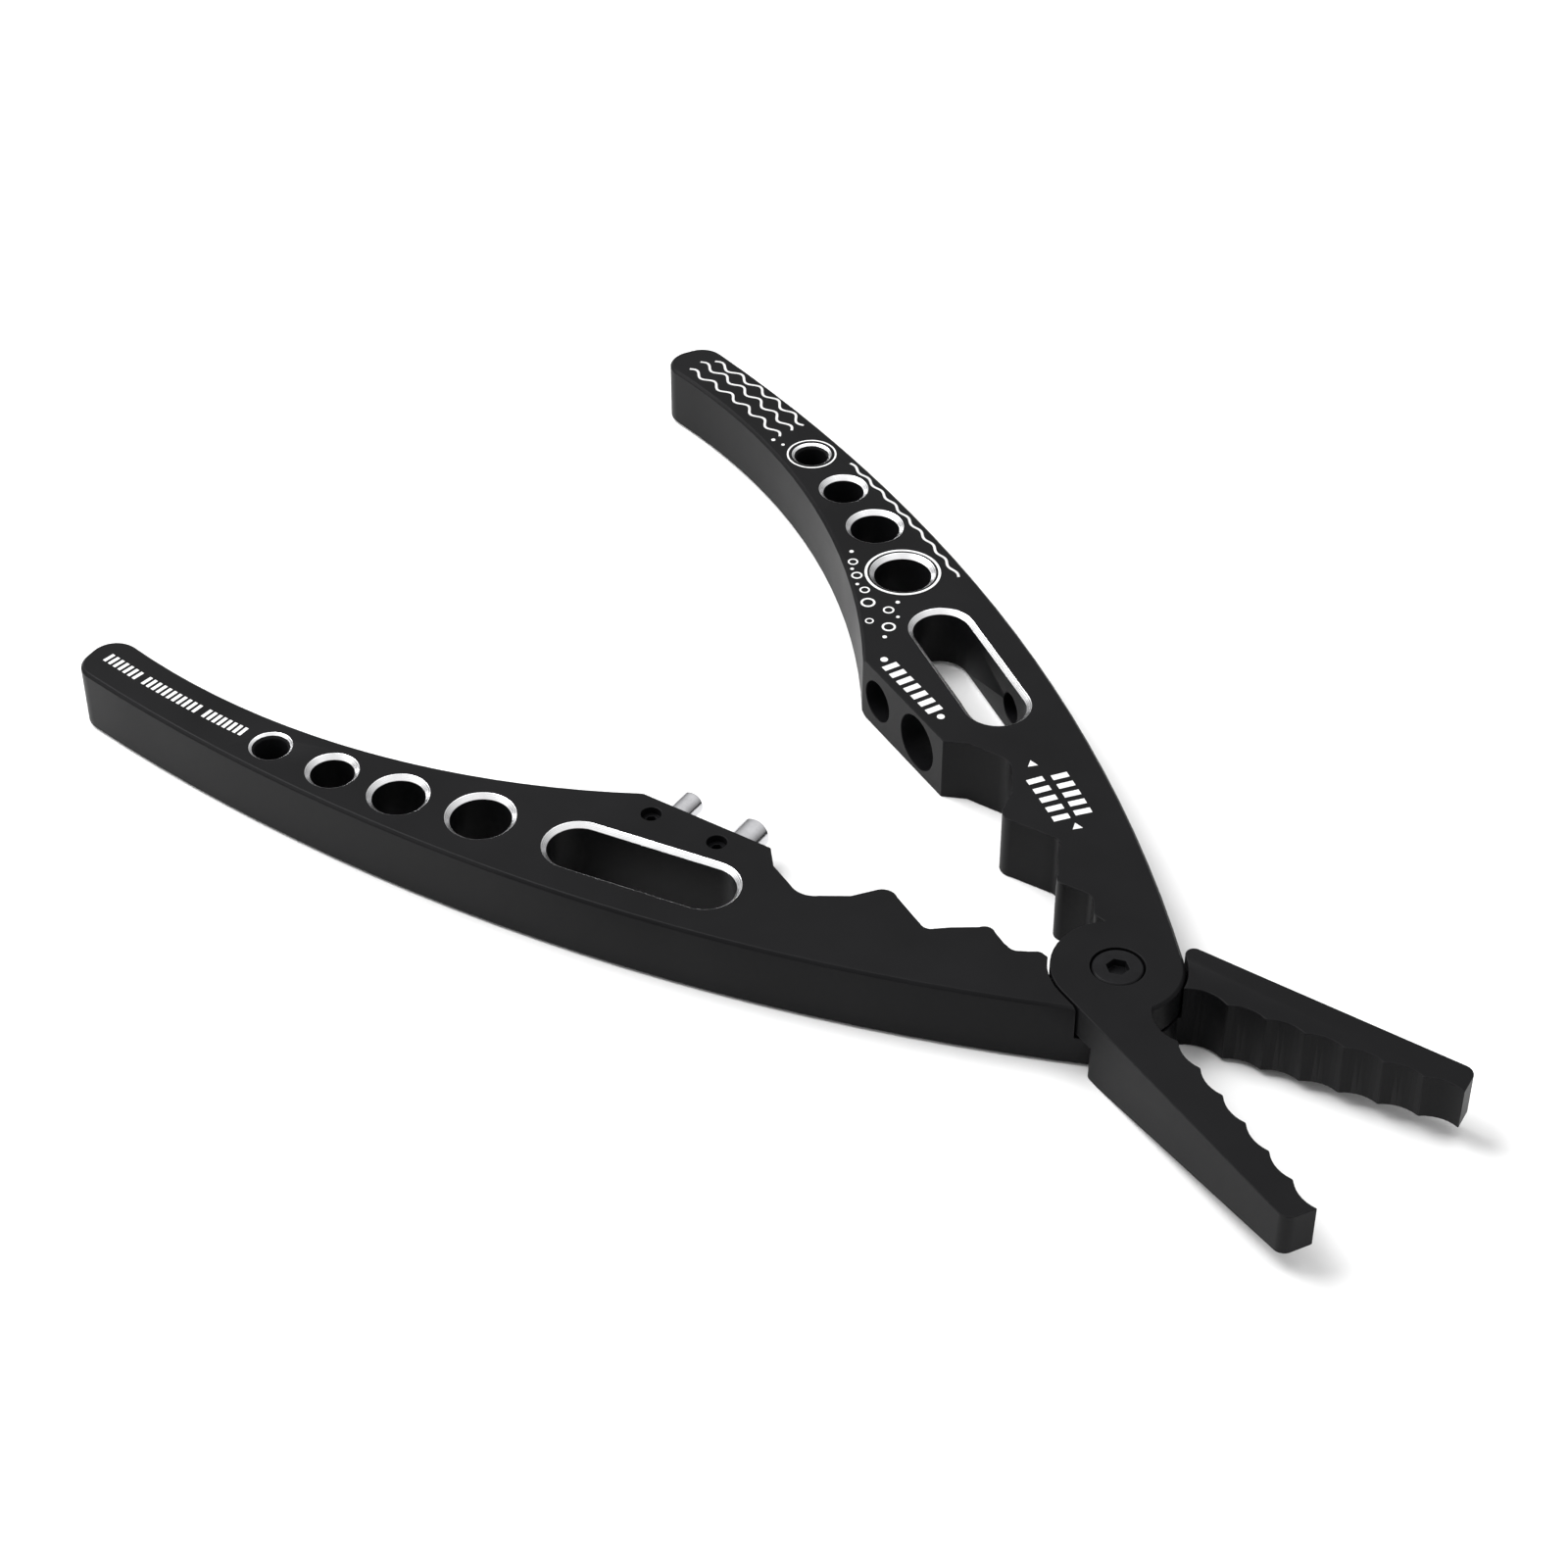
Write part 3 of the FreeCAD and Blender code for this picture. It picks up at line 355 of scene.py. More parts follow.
def steel_material(sizes):
    """Ground steel with fine lines round each pin, which points across its arm."""
    material, tree, shader, place = new_material("Ground Steel")
    turn = HALF_OPEN[-1]
    along = (-math.sin(turn), math.cos(turn), 0.0)
    lines = add_group(tree, cutter_lines(), Position=place, Lines_per_Metre=7000.0, Along=along)
    grain = add_group(tree, blast_grain(), Position=place, Cloud_per_Metre=500.0)
    dull, bright = shade(sizes.steel_colour, 0.8), shade(sizes.steel_colour)
    colour = mix_colours(tree, blend_range(tree, grain["Cloud"]), dull, bright)
    tree.links.new(colour, shader.inputs["Base Color"])
    shader.inputs["Metallic"].default_value = 1.0
    tree.links.new(blend_range(tree, lines["Height"], 0.12, 0.26), shader.inputs["Roughness"])
    add_bump(tree, shader, lines["Height"], 0.003 * MM)
    return material


def blackened_material(sizes):
    """Black-oxide steel of the pivot screw and the grub screws."""
    material, tree, shader, place = new_material("Blackened Steel")
    grain = add_group(tree, blast_grain(), Position=place,
                      Grain_per_Metre=3800.0, Cloud_per_Metre=350.0)
    rub_and_highlight = add_group(tree, edge_rub_and_highlight(), Position=place, Width=sizes.wear_width)
    dark, pale = (0.004, 0.004, 0.0045, 1.0), (0.009, 0.009, 0.01, 1.0)
    base = mix_colours(tree, blend_range(tree, grain["Cloud"]), dark, pale)
    # Paler sharp edges on the screws: partly rubbed oxide, partly a painted highlight along the
    # edges
    share = add_math(tree, "MULTIPLY", rub_and_highlight["Wear"], 0.5)
    colour = mix_colours(tree, share, base, (0.03, 0.03, 0.032, 1.0))
    tree.links.new(colour, shader.inputs["Base Color"])
    tree.links.new(blend_range(tree, grain["Cloud"], 0.3, 0.42), shader.inputs["Roughness"])
    shader.inputs["Specular IOR Level"].default_value = 0.1
    add_bump(tree, shader, grain["Height"], 0.005 * MM)
    return material


def mark_material(sizes):
    """Pale laser marking, a little uneven where the beam overlapped."""
    material, tree, shader, place = new_material("Pale Laser Mark")
    grain = add_group(tree, blast_grain(), Position=place,
                      Grain_per_Metre=7000.0, Cloud_per_Metre=900.0)
    grey, pale = shade(sizes.mark_colour, 0.78), shade(sizes.mark_colour)
    colour = mix_colours(tree, blend_range(tree, grain["Cloud"]), grey, pale)
    tree.links.new(colour, shader.inputs["Base Color"])
    tree.links.new(blend_range(tree, grain["Cloud"], 0.5, 0.7), shader.inputs["Roughness"])
    add_bump(tree, shader, grain["Height"], 0.004 * MM)
    return material


# Pieces made from the frame's own nodes


def link_object(name, data):
    made = bpy.data.objects.new(name, data)
    bpy.context.scene.collection.objects.link(made)
    return made


def station(corner):
    return corner.co.x


def inner_corners(work):
    """Corners that the mesher put inside the jaws' upright walls."""
    slopes = [
        face for face in work.faces
        if face.normal.z < FACES_DOWN and face.calc_center_median().x > JAW_START
    ]
    if not slopes:
        return set()
    slope = max(slopes, key=lambda face: face.calc_area())
    place, down = slope.verts[0].co.copy(), slope.normal.copy()
    return {
        corner for corner in work.verts
        if corner.co.x > JAW_START and corner.co.z < ARM_TOP - CREST_MARGIN
        and (corner.co - place).dot(down) < -CREST_MARGIN
    }


def crest_walls(crest):
    """All upright faces of one crest, from the inner corners on it."""
    walls = {face for corner in crest for face in corner.link_faces}
    outline = {corner for face in walls for corner in face.verts} - crest
    low, high = min(map(station, outline)), max(map(station, outline))
    for face in [face for corner in outline for face in corner.link_faces]:
        heights = [corner.co.z for corner in face.verts]
        inside = all(low <= station(corner) <= high for corner in face.verts)
        if inside and abs(face.normal.z) < STANDS_UPRIGHT and max(heights) - min(heights) > MM:
            walls.add(face)
    return walls


def lay_strip(work, upper, lower, outward):
    """Triangles between two rows of corners that run the same way."""
    over = under = 0
    while over < len(upper) - 1 or under < len(lower) - 1:
        climb = under == len(lower) - 1 or (
            over < len(upper) - 1 and station(upper[over + 1]) <= station(lower[under + 1]))
        third = upper[over + 1] if climb else lower[under + 1]
        face = work.faces.new((upper[over], lower[under], third))
        face.normal_update()
        if face.normal.dot(outward) < 0:
            face.normal_flip()
        over, under = (over + 1, under) if climb else (over, under + 1)


def relay_crests(work):
    """Lay each rounded tooth crest again as one upright strip, without inner corners."""
    inner = sorted(inner_corners(work), key=station)
    while inner:
        first = inner[0].co.copy()
        crest = {corner for corner in inner if (corner.co - first).xy.length < CREST_REACH}
        inner = [corner for corner in inner if corner not in crest]
        walls = crest_walls(crest)
        outline = {corner for face in walls for corner in face.verts} - crest
        outward = sum((face.normal * face.calc_area() for face in walls), Vector())
        upper = {corner for corner in outline if corner.co.z > ARM_TOP - MM}
        bmesh.ops.delete(work, geom=list(walls), context="FACES_ONLY")
        bmesh.ops.delete(work, geom=list(crest), context="VERTS")
        lay_strip(work, sorted(upper, key=station), sorted(outline - upper, key=station), outward)
    loose = [edge for edge in work.edges if not edge.link_faces]
    bmesh.ops.delete(work, geom=loose, context="EDGES")


def merged_copy(node, name):
    """A closed copy of a node's mesh with its flat faces joined and sharp edges marked."""
    mesh = frame["nodes"][node].data.copy()
    mesh.name = name
    mesh.materials.clear()
    work = bmesh.new()
    work.from_mesh(mesh)
    bmesh.ops.remove_doubles(work, verts=work.verts, dist=SAME_PLACE)
    relay_crests(work)
    bmesh.ops.dissolve_limit(work, angle_limit=SAME_PLANE, verts=work.verts, edges=work.edges)
    work.to_mesh(mesh)
    work.free()
    mesh.shade_smooth()
    mesh.set_sharp_from_angle(angle=SHARP_ANGLE)
    return link_object(name, mesh)


def lower_top(mesh):
    """Make room under the model's top for surface marks."""
    for vertex in mesh.vertices:
        if vertex.co.z > ARM_TOP - MARK_ROOM:
            vertex.co.z -= MARK_ROOM


def soften_edges(piece, width):
    """A small live bevel on every sharp edge."""
    bevel = piece.modifiers.new("Broken Edges", "BEVEL")
    bevel.width = width
    bevel.segments = 2
    bevel.limit_method = "ANGLE"
    bevel.angle_limit = SHARP_ANGLE
    bevel.use_clamp_overlap = False
    bevel.harden_normals = True


def on_flat_side(mesh, face):
    """Whether a face reaches the arm's lower or upper flat side."""
    heights = [mesh.vertices[corner].co.z for corner in face.vertices]
    return min(heights) < FLAT_SIDE_MARGIN or max(heights) > ARM_TOP - FLAT_SIDE_MARGIN


def rim_faces(mesh):
    """The slanted faces of the rims round the arm's holes and slot."""
    least, most = RIM_SLANTS
    slanted = {
        face.index for face in mesh.polygons
        if least < abs(face.normal.z) < most and on_flat_side(mesh, face)
    }
    faces_at = {}
    for index in slanted:
        for corner in mesh.polygons[index].vertices:
            faces_at.setdefault(corner, []).append(index)
    rims = []
    while slanted:
        patch = {slanted.pop()}
        open_faces = list(patch)
        while open_faces:
            corners = mesh.polygons[open_faces.pop()].vertices
            fresh = {index for corner in corners for index in faces_at[corner]} - patch
            patch |= fresh
            slanted -= fresh
            open_faces += fresh
        corners = [corner for index in patch for corner in mesh.polygons[index].vertices]
        places = [mesh.vertices[corner].co for corner in corners]
        middle = sum(places, Vector()) / len(places)
        if all((place - middle).length < RIM_REACH for place in places):
            rims += patch
    return rims


def stand_in(piece, node, body):
    """The piece takes the node's place on its body."""
    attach(piece, body)
    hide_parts(node)


# Surface marks: paths and spots in an arm's closed frame, in mm, laid out by node trees


def geometry_tree(name, inputs):
    """An empty geometry node tree, with the links from and to its two ends."""
    tree = bpy.data.node_groups.new(name, "GeometryNodeTree")
    add_sockets(tree, "INPUT", [("Geometry", "Geometry"), *inputs, ("Material", "Material")])
    add_sockets(tree, "OUTPUT", [("Geometry", "Geometry")])
    return tree, tree.nodes.new("NodeGroupInput").outputs


def finish_tree(tree, given, made):
    """End a tree: real geometry with the mark's material."""
    real = add_node(tree, "GeometryNodeRealizeInstances", inputs={"Geometry": made})
    painted = add_node(tree, "GeometryNodeSetMaterial", inputs={
        "Geometry": real.outputs["Geometry"], "Material": given["Material"]})
    end = tree.nodes.new("NodeGroupOutput")
    tree.links.new(painted.outputs["Geometry"], end.inputs["Geometry"])
    return tree


def bars_tree():
    """Bars across a path, at even spacing."""
    tree, given = geometry_tree("Bars On Path", [
        ("Spacing", "Float", 1.5 * MM), ("Bar Width", "Float", 0.8 * MM),
        ("Bar Height", "Float", 2.0 * MM), ("Thickness", "Float", MARK_HEIGHT)])
    path = add_node(tree, "GeometryNodeMeshToCurve", inputs={"Mesh": given["Geometry"]})
    places = add_node(tree, "GeometryNodeCurveToPoints", mode="LENGTH", inputs={
        "Curve": path.outputs["Curve"], "Length": given["Spacing"]})
    size = add_node(tree, "ShaderNodeCombineXYZ", inputs={
        "X": given["Bar Width"], "Y": given["Bar Height"], "Z": given["Thickness"]})
    bar = add_node(tree, "GeometryNodeMeshCube", inputs={"Size": size.outputs["Vector"]})
    along = add_node(tree, "FunctionNodeAlignRotationToVector", axis="X", inputs={
        "Vector": places.outputs["Tangent"]})
    bars = add_node(tree, "GeometryNodeInstanceOnPoints", inputs={
        "Points": places.outputs["Points"], "Instance": bar.outputs["Mesh"],
        "Rotation": along.outputs["Rotation"]})
    return finish_tree(tree, given, bars.outputs["Instances"])


def wave_tree():
    """A line that swings to both sides of a path."""
    tree, given = geometry_tree("Wave On Path", [
        ("Swing", "Float", 0.5 * MM), ("Waves", "Float", 5.0),
        ("Line Width", "Float", 0.35 * MM), ("Thickness", "Float", MARK_HEIGHT)])
    path = add_node(tree, "GeometryNodeMeshToCurve", inputs={"Mesh": given["Geometry"]})
    fine = add_node(tree, "GeometryNodeResampleCurve", inputs={
        "Curve": path.outputs["Curve"], "Count": WAVE_STEPS})
    share = add_node(tree, "GeometryNodeSplineParameter").outputs["Factor"]
    phase = add_math(tree, "MULTIPLY", add_math(tree, "MULTIPLY", share, given["Waves"]), math.tau)
    swing = add_math(tree, "MULTIPLY", add_math(tree, "SINE", phase), given["Swing"])
    tangent = add_node(tree, "GeometryNodeInputTangent").outputs["Tangent"]
    sideways = add_node(tree, "ShaderNodeVectorMath", operation="CROSS_PRODUCT", inputs={
        0: (0.0, 0.0, 1.0), 1: tangent})
    offset = add_node(tree, "ShaderNodeVectorMath", operation="SCALE", inputs={
        0: sideways.outputs["Vector"], "Scale": swing})
    swung = add_node(tree, "GeometryNodeSetPosition", inputs={
        "Geometry": fine.outputs["Curve"], "Offset": offset.outputs["Vector"]})
    level = add_node(tree, "GeometryNodeSetCurveNormal", mode="Z_UP", inputs={
        "Curve": swung.outputs["Geometry"]})
    section = add_node(tree, "GeometryNodeCurvePrimitiveQuadrilateral", mode="RECTANGLE", inputs={
        "Width": given["Line Width"], "Height": given["Thickness"]})
    line = add_node(tree, "GeometryNodeCurveToMesh", inputs={
        "Curve": level.outputs["Curve"], "Profile Curve": section.outputs["Curve"],
        "Fill Caps": True})
    return finish_tree(tree, given, line.outputs["Mesh"])


def spots_tree():
    """Flat spots on the host's points, each with its own radius: whole, or rings.

    A ring's line width is a share of its radius.
    """
    tree, given = geometry_tree("Spots On Points", [
        ("Sides", "Int", 32), ("Turn", "Float", 0.0), ("Rings", "Bool", False),
        ("Line Width", "Float", BUBBLE_LINE), ("Thickness", "Float", MARK_HEIGHT)])
    disc = add_node(tree, "GeometryNodeMeshCylinder", inputs={
        "Vertices": given["Sides"], "Radius": 1.0, "Depth": given["Thickness"]})
    round_path = add_node(tree, "GeometryNodeCurvePrimitiveCircle", inputs={
        "Resolution": given["Sides"], "Radius": 1.0})
    level = add_node(tree, "GeometryNodeSetCurveNormal", mode="Z_UP", inputs={
        "Curve": round_path.outputs["Curve"]})
    section = add_node(tree, "GeometryNodeCurvePrimitiveQuadrilateral", mode="RECTANGLE", inputs={
        "Width": given["Line Width"], "Height": given["Thickness"]})
    ring = add_node(tree, "GeometryNodeCurveToMesh", inputs={
        "Curve": level.outputs["Curve"], "Profile Curve": section.outputs["Curve"]})
    shape = add_node(tree, "GeometryNodeSwitch", input_type="GEOMETRY", inputs={
        "Switch": given["Rings"], "False": disc.outputs["Mesh"], "True": ring.outputs["Mesh"]})
    radius = add_node(tree, "GeometryNodeInputNamedAttribute", data_type="FLOAT", inputs={
        "Name": "spot_radius"}).outputs["Attribute"]
    scale = add_node(tree, "ShaderNodeCombineXYZ", inputs={"X": radius, "Y": radius, "Z": 1.0})
    angle = add_node(tree, "ShaderNodeCombineXYZ", inputs={"Z": given["Turn"]})
    turn = add_node(tree, "FunctionNodeEulerToRotation", inputs={"Euler": angle.outputs["Vector"]})
    spots = add_node(tree, "GeometryNodeInstanceOnPoints", inputs={
        "Points": given["Geometry"], "Instance": shape.outputs["Output"],
        "Rotation": turn.outputs["Rotation"], "Scale": scale.outputs["Vector"]})
    return finish_tree(tree, given, spots.outputs["Instances"])


def path_mesh(side, first, middle, last):
    """A polyline over an arm's top that bends through three places."""
    places = []
    for number in range(PATH_STEPS + 1):
        share = number / PATH_STEPS
        before = 2 * (share - 0.5) * (share - 1)
        between = 4 * share * (1 - share)
        after = 2 * share * (share - 0.5)
        x, y = (
            first[axis] * before + middle[axis] * between + last[axis] * after for axis in (0, 1))
        places.append(mark_place(side, x, y))
    mesh = bpy.data.meshes.new("mark_path")
    mesh.from_pydata(places, [(number, number + 1) for number in range(PATH_STEPS)], [])
    return mesh


def spots_mesh(side, spots):
    """Loose points over an arm's top, each with a radius: x, y, radius in mm."""
    mesh = bpy.data.meshes.new("mark_spots")
    mesh.from_pydata([mark_place(side, x, y) for x, y, radius in spots], [], [])
    sizes = mesh.attributes.new("spot_radius", "FLOAT", "POINT")
    for number, (x, y, radius) in enumerate(spots):
        sizes.data[number].value = radius * MM
    return mesh


def grow_mark(mesh, tree, material, **values):
    """The mesh that a node tree makes on a host mesh, with the tree's inputs by name."""
    host = link_object("mark_host", mesh)
    nodes = host.modifiers.new("Marks", "NODES")
    nodes.node_group = tree
    for item in tree.interface.items_tree:
        if item.item_type == "SOCKET" and item.in_out == "INPUT":
            key = item.name.replace(" ", "_")
            if key == "Material":
                nodes[item.identifier] = material
            elif key in values:
                nodes[item.identifier] = values[key]
    graph = bpy.context.evaluated_depsgraph_get()
    grown = bpy.data.meshes.new_from_object(host.evaluated_get(graph))
    host.modifiers.remove(nodes)
    bpy.data.objects.remove(host)
    if not grown.polygons:
        raise RuntimeError(f"{tree.name} made nothing")
    return grown


def join_marks(name, meshes, body):
    """One piece of several mark meshes, riding on an arm."""
    work = bmesh.new()
    for mesh in meshes:
        work.from_mesh(mesh)
    whole = bpy.data.meshes.new(name)
    work.to_mesh(whole)
    work.free()
    whole.materials.append(meshes[0].materials[0])
    whole.shade_flat()
    piece = link_object(name, whole)
    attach(piece, body)
    return piece


class PliersMarks(bpy.types.PropertyGroup):
    """Sizes of the generic marks on the arms."""

    tick_spacing: bpy.props.FloatProperty(
        name="Tick Spacing", description="From tick to tick on the pin arm's tail",
        subtype="DISTANCE", unit="LENGTH", min=0.1 * MM, default=0.88 * MM)
    tick_width: bpy.props.FloatProperty(
        name="Tick Width", description="Width of each tick",
        subtype="DISTANCE", unit="LENGTH", min=0.05 * MM, default=0.5 * MM)
    tick_height: bpy.props.FloatProperty(
        name="Tick Height", description="Height of each tick",
        subtype="DISTANCE", unit="LENGTH", min=0.1 * MM, default=1.7 * MM)
    bar_spacing: bpy.props.FloatProperty(
        name="Bar Spacing", description="From bar to bar beside the sockets",
        subtype="DISTANCE", unit="LENGTH", min=0.1 * MM, default=1.55 * MM)
    bar_width: bpy.props.FloatProperty(
        name="Bar Width", description="Width of each bar",
        subtype="DISTANCE", unit="LENGTH", min=0.05 * MM, default=0.95 * MM)
    bar_height: bpy.props.FloatProperty(
        name="Bar Height", description="Height of each bar",
        subtype="DISTANCE", unit="LENGTH", min=0.1 * MM, default=2.2 * MM)
    wave_swing: bpy.props.FloatProperty(
        name="Wave Swing", description="How far the waves swing to each side",
        subtype="DISTANCE", unit="LENGTH", min=0.0, default=0.5 * MM)
    wave_width: bpy.props.FloatProperty(
        name="Wave Line", description="Width of the wave lines",
        subtype="DISTANCE", unit="LENGTH", min=0.05 * MM, default=0.36 * MM)


class PliersFinish(bpy.types.PropertyGroup):
    """Colours and surface sizes of the pliers' metal."""

    anodised_colour: bpy.props.FloatVectorProperty(
        name="Anodising", description="Colour of the anodised arms",
        subtype="COLOR", size=3, min=0.0, max=1.0, default=(0.0044, 0.0044, 0.0049))
    anodised_roughness: bpy.props.FloatProperty(
        name="Satin", description="Roughness of the anodised arms",
        subtype="FACTOR", min=0.05, max=1.0, default=0.42)
    grain_density: bpy.props.FloatProperty(
        name="Grain", description="Blasted pits of the arms for each metre",
        min=100.0, default=5200.0)
    edge_width: bpy.props.FloatProperty(
        name="Broken Edge", description="Width of the small bevel on every sharp edge",
        subtype="DISTANCE", unit="LENGTH", min=0.0, default=0.1 * MM)
    # The rubbed-edge width, share and colour below also paint a highlight line along every sharp
    # edge
    wear_width: bpy.props.FloatProperty(
        name="Rub And Highlight Width", description="How far rubbed corners reach over the faces",
        subtype="DISTANCE", unit="LENGTH", min=0.0, default=0.25 * MM)
    rub_and_highlight_share: bpy.props.FloatProperty(
        name="Wear", description="How much paler a rubbed corner is",
        subtype="FACTOR", min=0.0, max=1.0, default=0.5)
    rubbed_and_highlit_colour: bpy.props.FloatVectorProperty(
        name="Rubbed And Highlit Anodising", description="Colour of a rubbed corner",
        subtype="COLOR", size=3, min=0.0, max=1.0, default=(0.05, 0.05, 0.052))
    bare_colour: bpy.props.FloatVectorProperty(
        name="Bare Rims", description="Colour of the bare aluminium rims",
        subtype="COLOR", size=3, min=0.0, max=1.0, default=(0.84, 0.84, 0.85))
    steel_colour: bpy.props.FloatVectorProperty(
        name="Pins", description="Colour of the steel push pins",
        subtype="COLOR", size=3, min=0.0, max=1.0, default=(0.62, 0.62, 0.64))
    mark_colour: bpy.props.FloatVectorProperty(
        name="Marks", description="Colour of the pale surface marks",
        subtype="COLOR", size=3, min=0.0, max=1.0, default=(0.72, 0.72, 0.72))


class PliersStage(bpy.types.PropertyGroup):
    """Camera, light and floor of the studio."""

    focal_length: bpy.props.FloatProperty(
        name="Focal Length", description="Focal length of the camera on a 36 mm sensor, in mm",
        min=1.0, default=77.6)
    distance: bpy.props.FloatProperty(
        name="Distance", description="From the camera to the place that it looks at",
        subtype="DISTANCE", unit="LENGTH", min=0.01, default=0.4226)
    azimuth: bpy.props.FloatProperty(
        name="Azimuth", description="Turn of the camera round the pliers from the -Y side",
        subtype="ANGLE", unit="ROTATION", default=math.radians(46.54))
    elevation: bpy.props.FloatProperty(
        name="Elevation", description="Height of the camera above the horizon",
        subtype="ANGLE", unit="ROTATION", default=math.radians(39.85))
    target: bpy.props.FloatVectorProperty(
        name="Target", description="Place that the camera looks at",
        subtype="TRANSLATION", unit="LENGTH", size=3, default=(-51.2 * MM, -5.5 * MM, 9.2 * MM))
    floor_size: bpy.props.FloatProperty(
        name="Floor", description="Side of the square floor",
        subtype="DISTANCE", unit="LENGTH", min=0.5, default=6.0)
    floor_colour: bpy.props.FloatVectorProperty(
        name="Floor Colour", description="Colour of the floor",
        subtype="COLOR", size=3, min=0.0, max=1.0, default=(0.97, 0.97, 0.97))
    sky_strength: bpy.props.FloatProperty(
        name="Sky", description="Strength of the even light from all round",
        min=0.0, default=0.55)
    lamp_power: bpy.props.FloatProperty(
        name="Lamps", description="Power of the large soft lamp",
        subtype="POWER", unit="POWER", min=0.0, default=9.0)


class PLIERS_OT_arms(bpy.types.Operator):
    """Finish both arms in satin black with bright rims round their holes and slots"""

    bl_idname = "pliers.arms"
    bl_label = "Finish Arms"

    def execute(self, context):
        sizes = context.scene.pliers_finish
        anodised = anodised_material(sizes)
        bare = bare_material(sizes)
        for node, name, body in ARMS:
            piece = merged_copy(node, name)
            piece.data.materials.append(anodised)
            piece.data.materials.append(bare)
            lower_top(piece.data)
            rims = rim_faces(piece.data)
            if not rims:
                raise RuntimeError(f"{name} has no rims")
            for index in rims:
                piece.data.polygons[index].material_index = 1
            soften_edges(piece, sizes.edge_width)
            stand_in(piece, node, body)
        return {"FINISHED"}


class PLIERS_OT_pins(bpy.types.Operator):
    """Finish the two push pins in bright ground steel"""

    bl_idname = "pliers.pins"
    bl_label = "Finish Push Pins"

    def execute(self, context):
        sizes = context.scene.pliers_finish
        steel = steel_material(sizes)
        for node, name in PINS:
            piece = merged_copy(node, name)
            piece.data.materials.append(steel)
            soften_edges(piece, sizes.edge_width)
            stand_in(piece, node, "lower_arm")
        return {"FINISHED"}


class PLIERS_OT_screws(bpy.types.Operator):
    """Finish the pivot screw and the grub screws in blackened steel, and the pivot stack"""

    bl_idname = "pliers.screws"
    bl_label = "Finish Screws and Washers"

    def execute(self, context):
        sizes = context.scene.pliers_finish
        blackened = blackened_material(sizes)
        for node, name in SCREWS:
            piece = merged_copy(node, name)
            piece.data.materials.append(blackened)
            soften_edges(piece, sizes.edge_width / 2)
            stand_in(piece, node, "lower_arm")
        for node in PIVOT_STACK:
            mesh = frame["nodes"][node].data
            mesh.materials.clear()
            mesh.materials.append(blackened)
        return {"FINISHED"}


class PLIERS_OT_marks(bpy.types.Operator):
    """Lay pale ticks, bars, waves and bubbles on the arms' top faces"""

    bl_idname = "pliers.marks"
    bl_label = "Lay Marks"

    def execute(self, context):
        sizes = context.scene.pliers_marks
        pale = mark_material(context.scene.pliers_finish)
        bars, waves, spots = bars_tree(), wave_tree(), spots_tree()
        tick_sizes = {"Spacing": sizes.tick_spacing, "Bar_Width": sizes.tick_width,
                      "Bar_Height": sizes.tick_height}
        marks = [grow_mark(path_mesh(-1, *path), bars, pale, **tick_sizes) for path in TICK_PATHS]
        join_marks("tail_ticks", marks, "lower_arm")

        bar_sizes = {"Spacing": sizes.bar_spacing, "Bar_Width": sizes.bar_width,
                     "Bar_Height": sizes.bar_height}
        marks = [grow_mark(path_mesh(1, *path), bars, pale, **bar_sizes) for path in BAR_PATHS]
        marks.append(grow_mark(spots_mesh(1, END_DOTS), spots, pale))
        marks.append(grow_mark(
            spots_mesh(1, TRIANGLES), spots, pale, Sides=3, Turn=TRIANGLE_TURN))
        join_marks("socket_bars", marks, "upper_arm")

        marks = []
        for path, swing, count in WAVE_PATHS:
            marks.append(grow_mark(path_mesh(1, *path), waves, pale, Waves=count,
                                   Swing=sizes.wave_swing * swing, Line_Width=sizes.wave_width))
        join_marks("handle_waves", marks, "upper_arm")

        marks = [grow_mark(spots_mesh(1, BUBBLES), spots, pale, Rings=True)]
        marks.append(grow_mark(spots_mesh(1, RIPPLES), spots, pale,
                               Rings=True, Line_Width=RIPPLE_LINE, Sides=64))
        marks.append(grow_mark(spots_mesh(1, DOTS), spots, pale))
        join_marks("handle_bubbles", marks, "upper_arm")
        return {"FINISHED"}


class PLIERS_OT_stage(bpy.types.Operator):
    """Set the pale floor, the soft light and the camera"""

    bl_idname = "pliers.stage"
    bl_label = "Set Stage"

    def execute(self, context):
        stage = context.scene.pliers_stage
        add_floor(stage)
        add_sky(stage)
        add_lamps(stage)
        add_camera(stage)
        context.scene.view_settings.view_transform = "Standard"
        return {"FINISHED"}


def add_floor(stage):
    half = stage.floor_size / 2
    mesh = bpy.data.meshes.new("floor")
    corners = [(-half, -half), (half, -half), (half, half), (-half, half)]
    mesh.from_pydata([(x, y, -FLOOR_DROP) for x, y in corners], [], [(0, 1, 2, 3)])
    material, tree, shader, place = new_material("Floor Paper")
    fibre = add_node(tree, "ShaderNodeTexNoise", inputs={
        "Vector": place, "Scale": 400.0, "Detail": 3.0})
    low, high = shade(stage.floor_colour, 0.995), shade(stage.floor_colour)
    colour = mix_colours(tree, fibre.outputs["Fac"], low, high)
    tree.links.new(colour, shader.inputs["Base Color"])
    shader.inputs["Roughness"].default_value = 0.9
    shader.inputs["Specular IOR Level"].default_value = 0.0
    mesh.materials.append(material)
    link_object("floor", mesh)


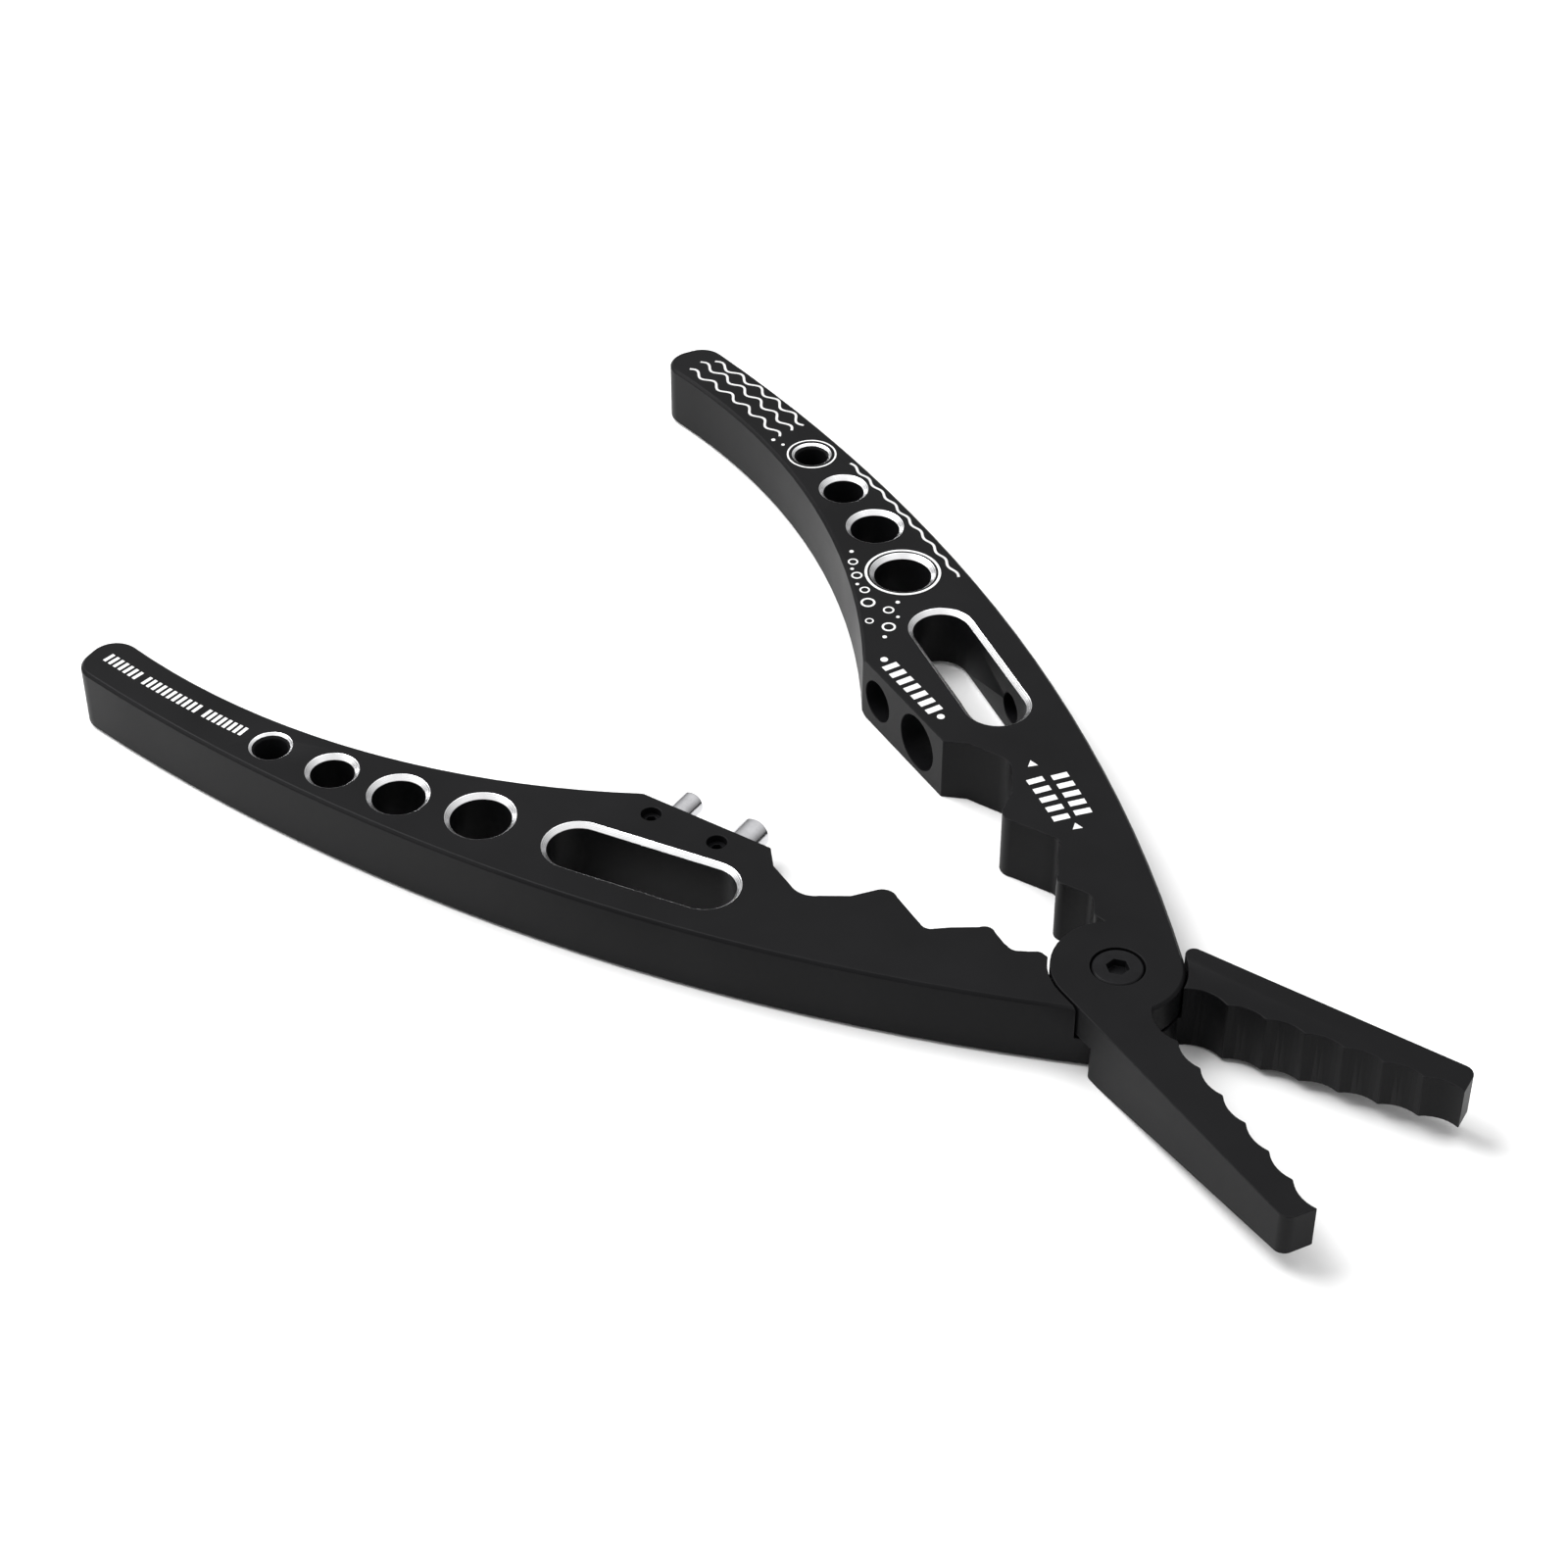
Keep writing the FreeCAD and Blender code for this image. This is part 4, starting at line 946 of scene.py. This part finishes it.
def add_sky(stage):
    """Even light that shows as white to the camera, and in metal as a sky over a dark horizon."""
    world = bpy.data.worlds.new("Studio")
    world.use_nodes = True
    bpy.context.scene.world = world
    tree = world.node_tree
    tree.nodes.clear()
    rays = tree.nodes.new("ShaderNodeLightPath").outputs
    direction = add_node(tree, "ShaderNodeSeparateXYZ", inputs={
        "Vector": tree.nodes.new("ShaderNodeTexCoord").outputs["Generated"]})
    mirrored = add_node(tree, "ShaderNodeMapRange", inputs={
        "Value": direction.outputs["Z"], "From Max": 0.75, "To Min": 0.12, "To Max": 1.05})
    unseen = add_node(tree, "ShaderNodeMapRange", inputs={
        "Value": rays["Is Glossy Ray"], "To Min": stage.sky_strength,
        "To Max": mirrored.outputs["Result"]}).outputs["Result"]
    strength = add_node(tree, "ShaderNodeMapRange", inputs={
        "Value": rays["Is Camera Ray"], "To Min": unseen, "To Max": 1.0})
    sky = add_node(tree, "ShaderNodeBackground", inputs={
        "Color": (1.0, 1.0, 1.0, 1.0), "Strength": strength.outputs["Result"]})
    output = tree.nodes.new("ShaderNodeOutputWorld")
    tree.links.new(sky.outputs["Background"], output.inputs["Surface"])


def add_lamps(stage):
    for name, place, side, share in LAMPS:
        light = bpy.data.lights.new(name, "AREA")
        light.shape = "SQUARE"
        light.size = side
        light.energy = stage.lamp_power * share
        lamp = link_object(name, light)
        lamp.location = place
        aim = Vector(LAMP_TARGET) - lamp.location
        lamp.rotation_euler = aim.to_track_quat("-Z", "Y").to_euler()


def add_camera(stage):
    camera = bpy.data.cameras.new("camera")
    camera.lens = stage.focal_length
    camera.sensor_width = SENSOR_WIDTH
    camera.clip_start = 0.01
    camera.clip_end = 20.0
    back = Vector((
        math.sin(stage.azimuth) * math.cos(stage.elevation),
        -math.cos(stage.azimuth) * math.cos(stage.elevation),
        math.sin(stage.elevation),
    ))
    seat = link_object("camera", camera)
    seat.location = Vector(stage.target) + back * stage.distance
    seat.rotation_euler = (-back).to_track_quat("-Z", "Y").to_euler()
    bpy.context.scene.camera = seat


class PLIERS_PT_panel(bpy.types.Panel):
    """Sizes, colours and steps of the pliers' finish"""

    bl_idname = "PLIERS_PT_panel"
    bl_label = "Pliers"
    bl_space_type = "VIEW_3D"
    bl_region_type = "UI"
    bl_category = "Pliers"

    def draw(self, context):
        for operator in OPERATORS:
            self.layout.operator(operator.bl_idname)
        scene = context.scene
        for group in (scene.pliers_finish, scene.pliers_marks, scene.pliers_stage):
            box = self.layout.box()
            for key in group.__annotations__:
                box.prop(group, key)


OPERATORS = (PLIERS_OT_arms, PLIERS_OT_pins, PLIERS_OT_screws, PLIERS_OT_marks, PLIERS_OT_stage)
CLASSES = (PliersFinish, PliersMarks, PliersStage, *OPERATORS, PLIERS_PT_panel)


def register():
    for kind in CLASSES:
        bpy.utils.register_class(kind)
    bpy.types.Scene.pliers_finish = bpy.props.PointerProperty(type=PliersFinish)
    bpy.types.Scene.pliers_marks = bpy.props.PointerProperty(type=PliersMarks)
    bpy.types.Scene.pliers_stage = bpy.props.PointerProperty(type=PliersStage)


def unregister():
    del bpy.types.Scene.pliers_stage
    del bpy.types.Scene.pliers_marks
    del bpy.types.Scene.pliers_finish
    for kind in reversed(CLASSES):
        bpy.utils.unregister_class(kind)


def main():
    register()
    bpy.ops.pliers.arms()
    bpy.ops.pliers.pins()
    bpy.ops.pliers.screws()
    bpy.ops.pliers.marks()
    bpy.ops.pliers.stage()


if __name__ == "__main__":
    main()
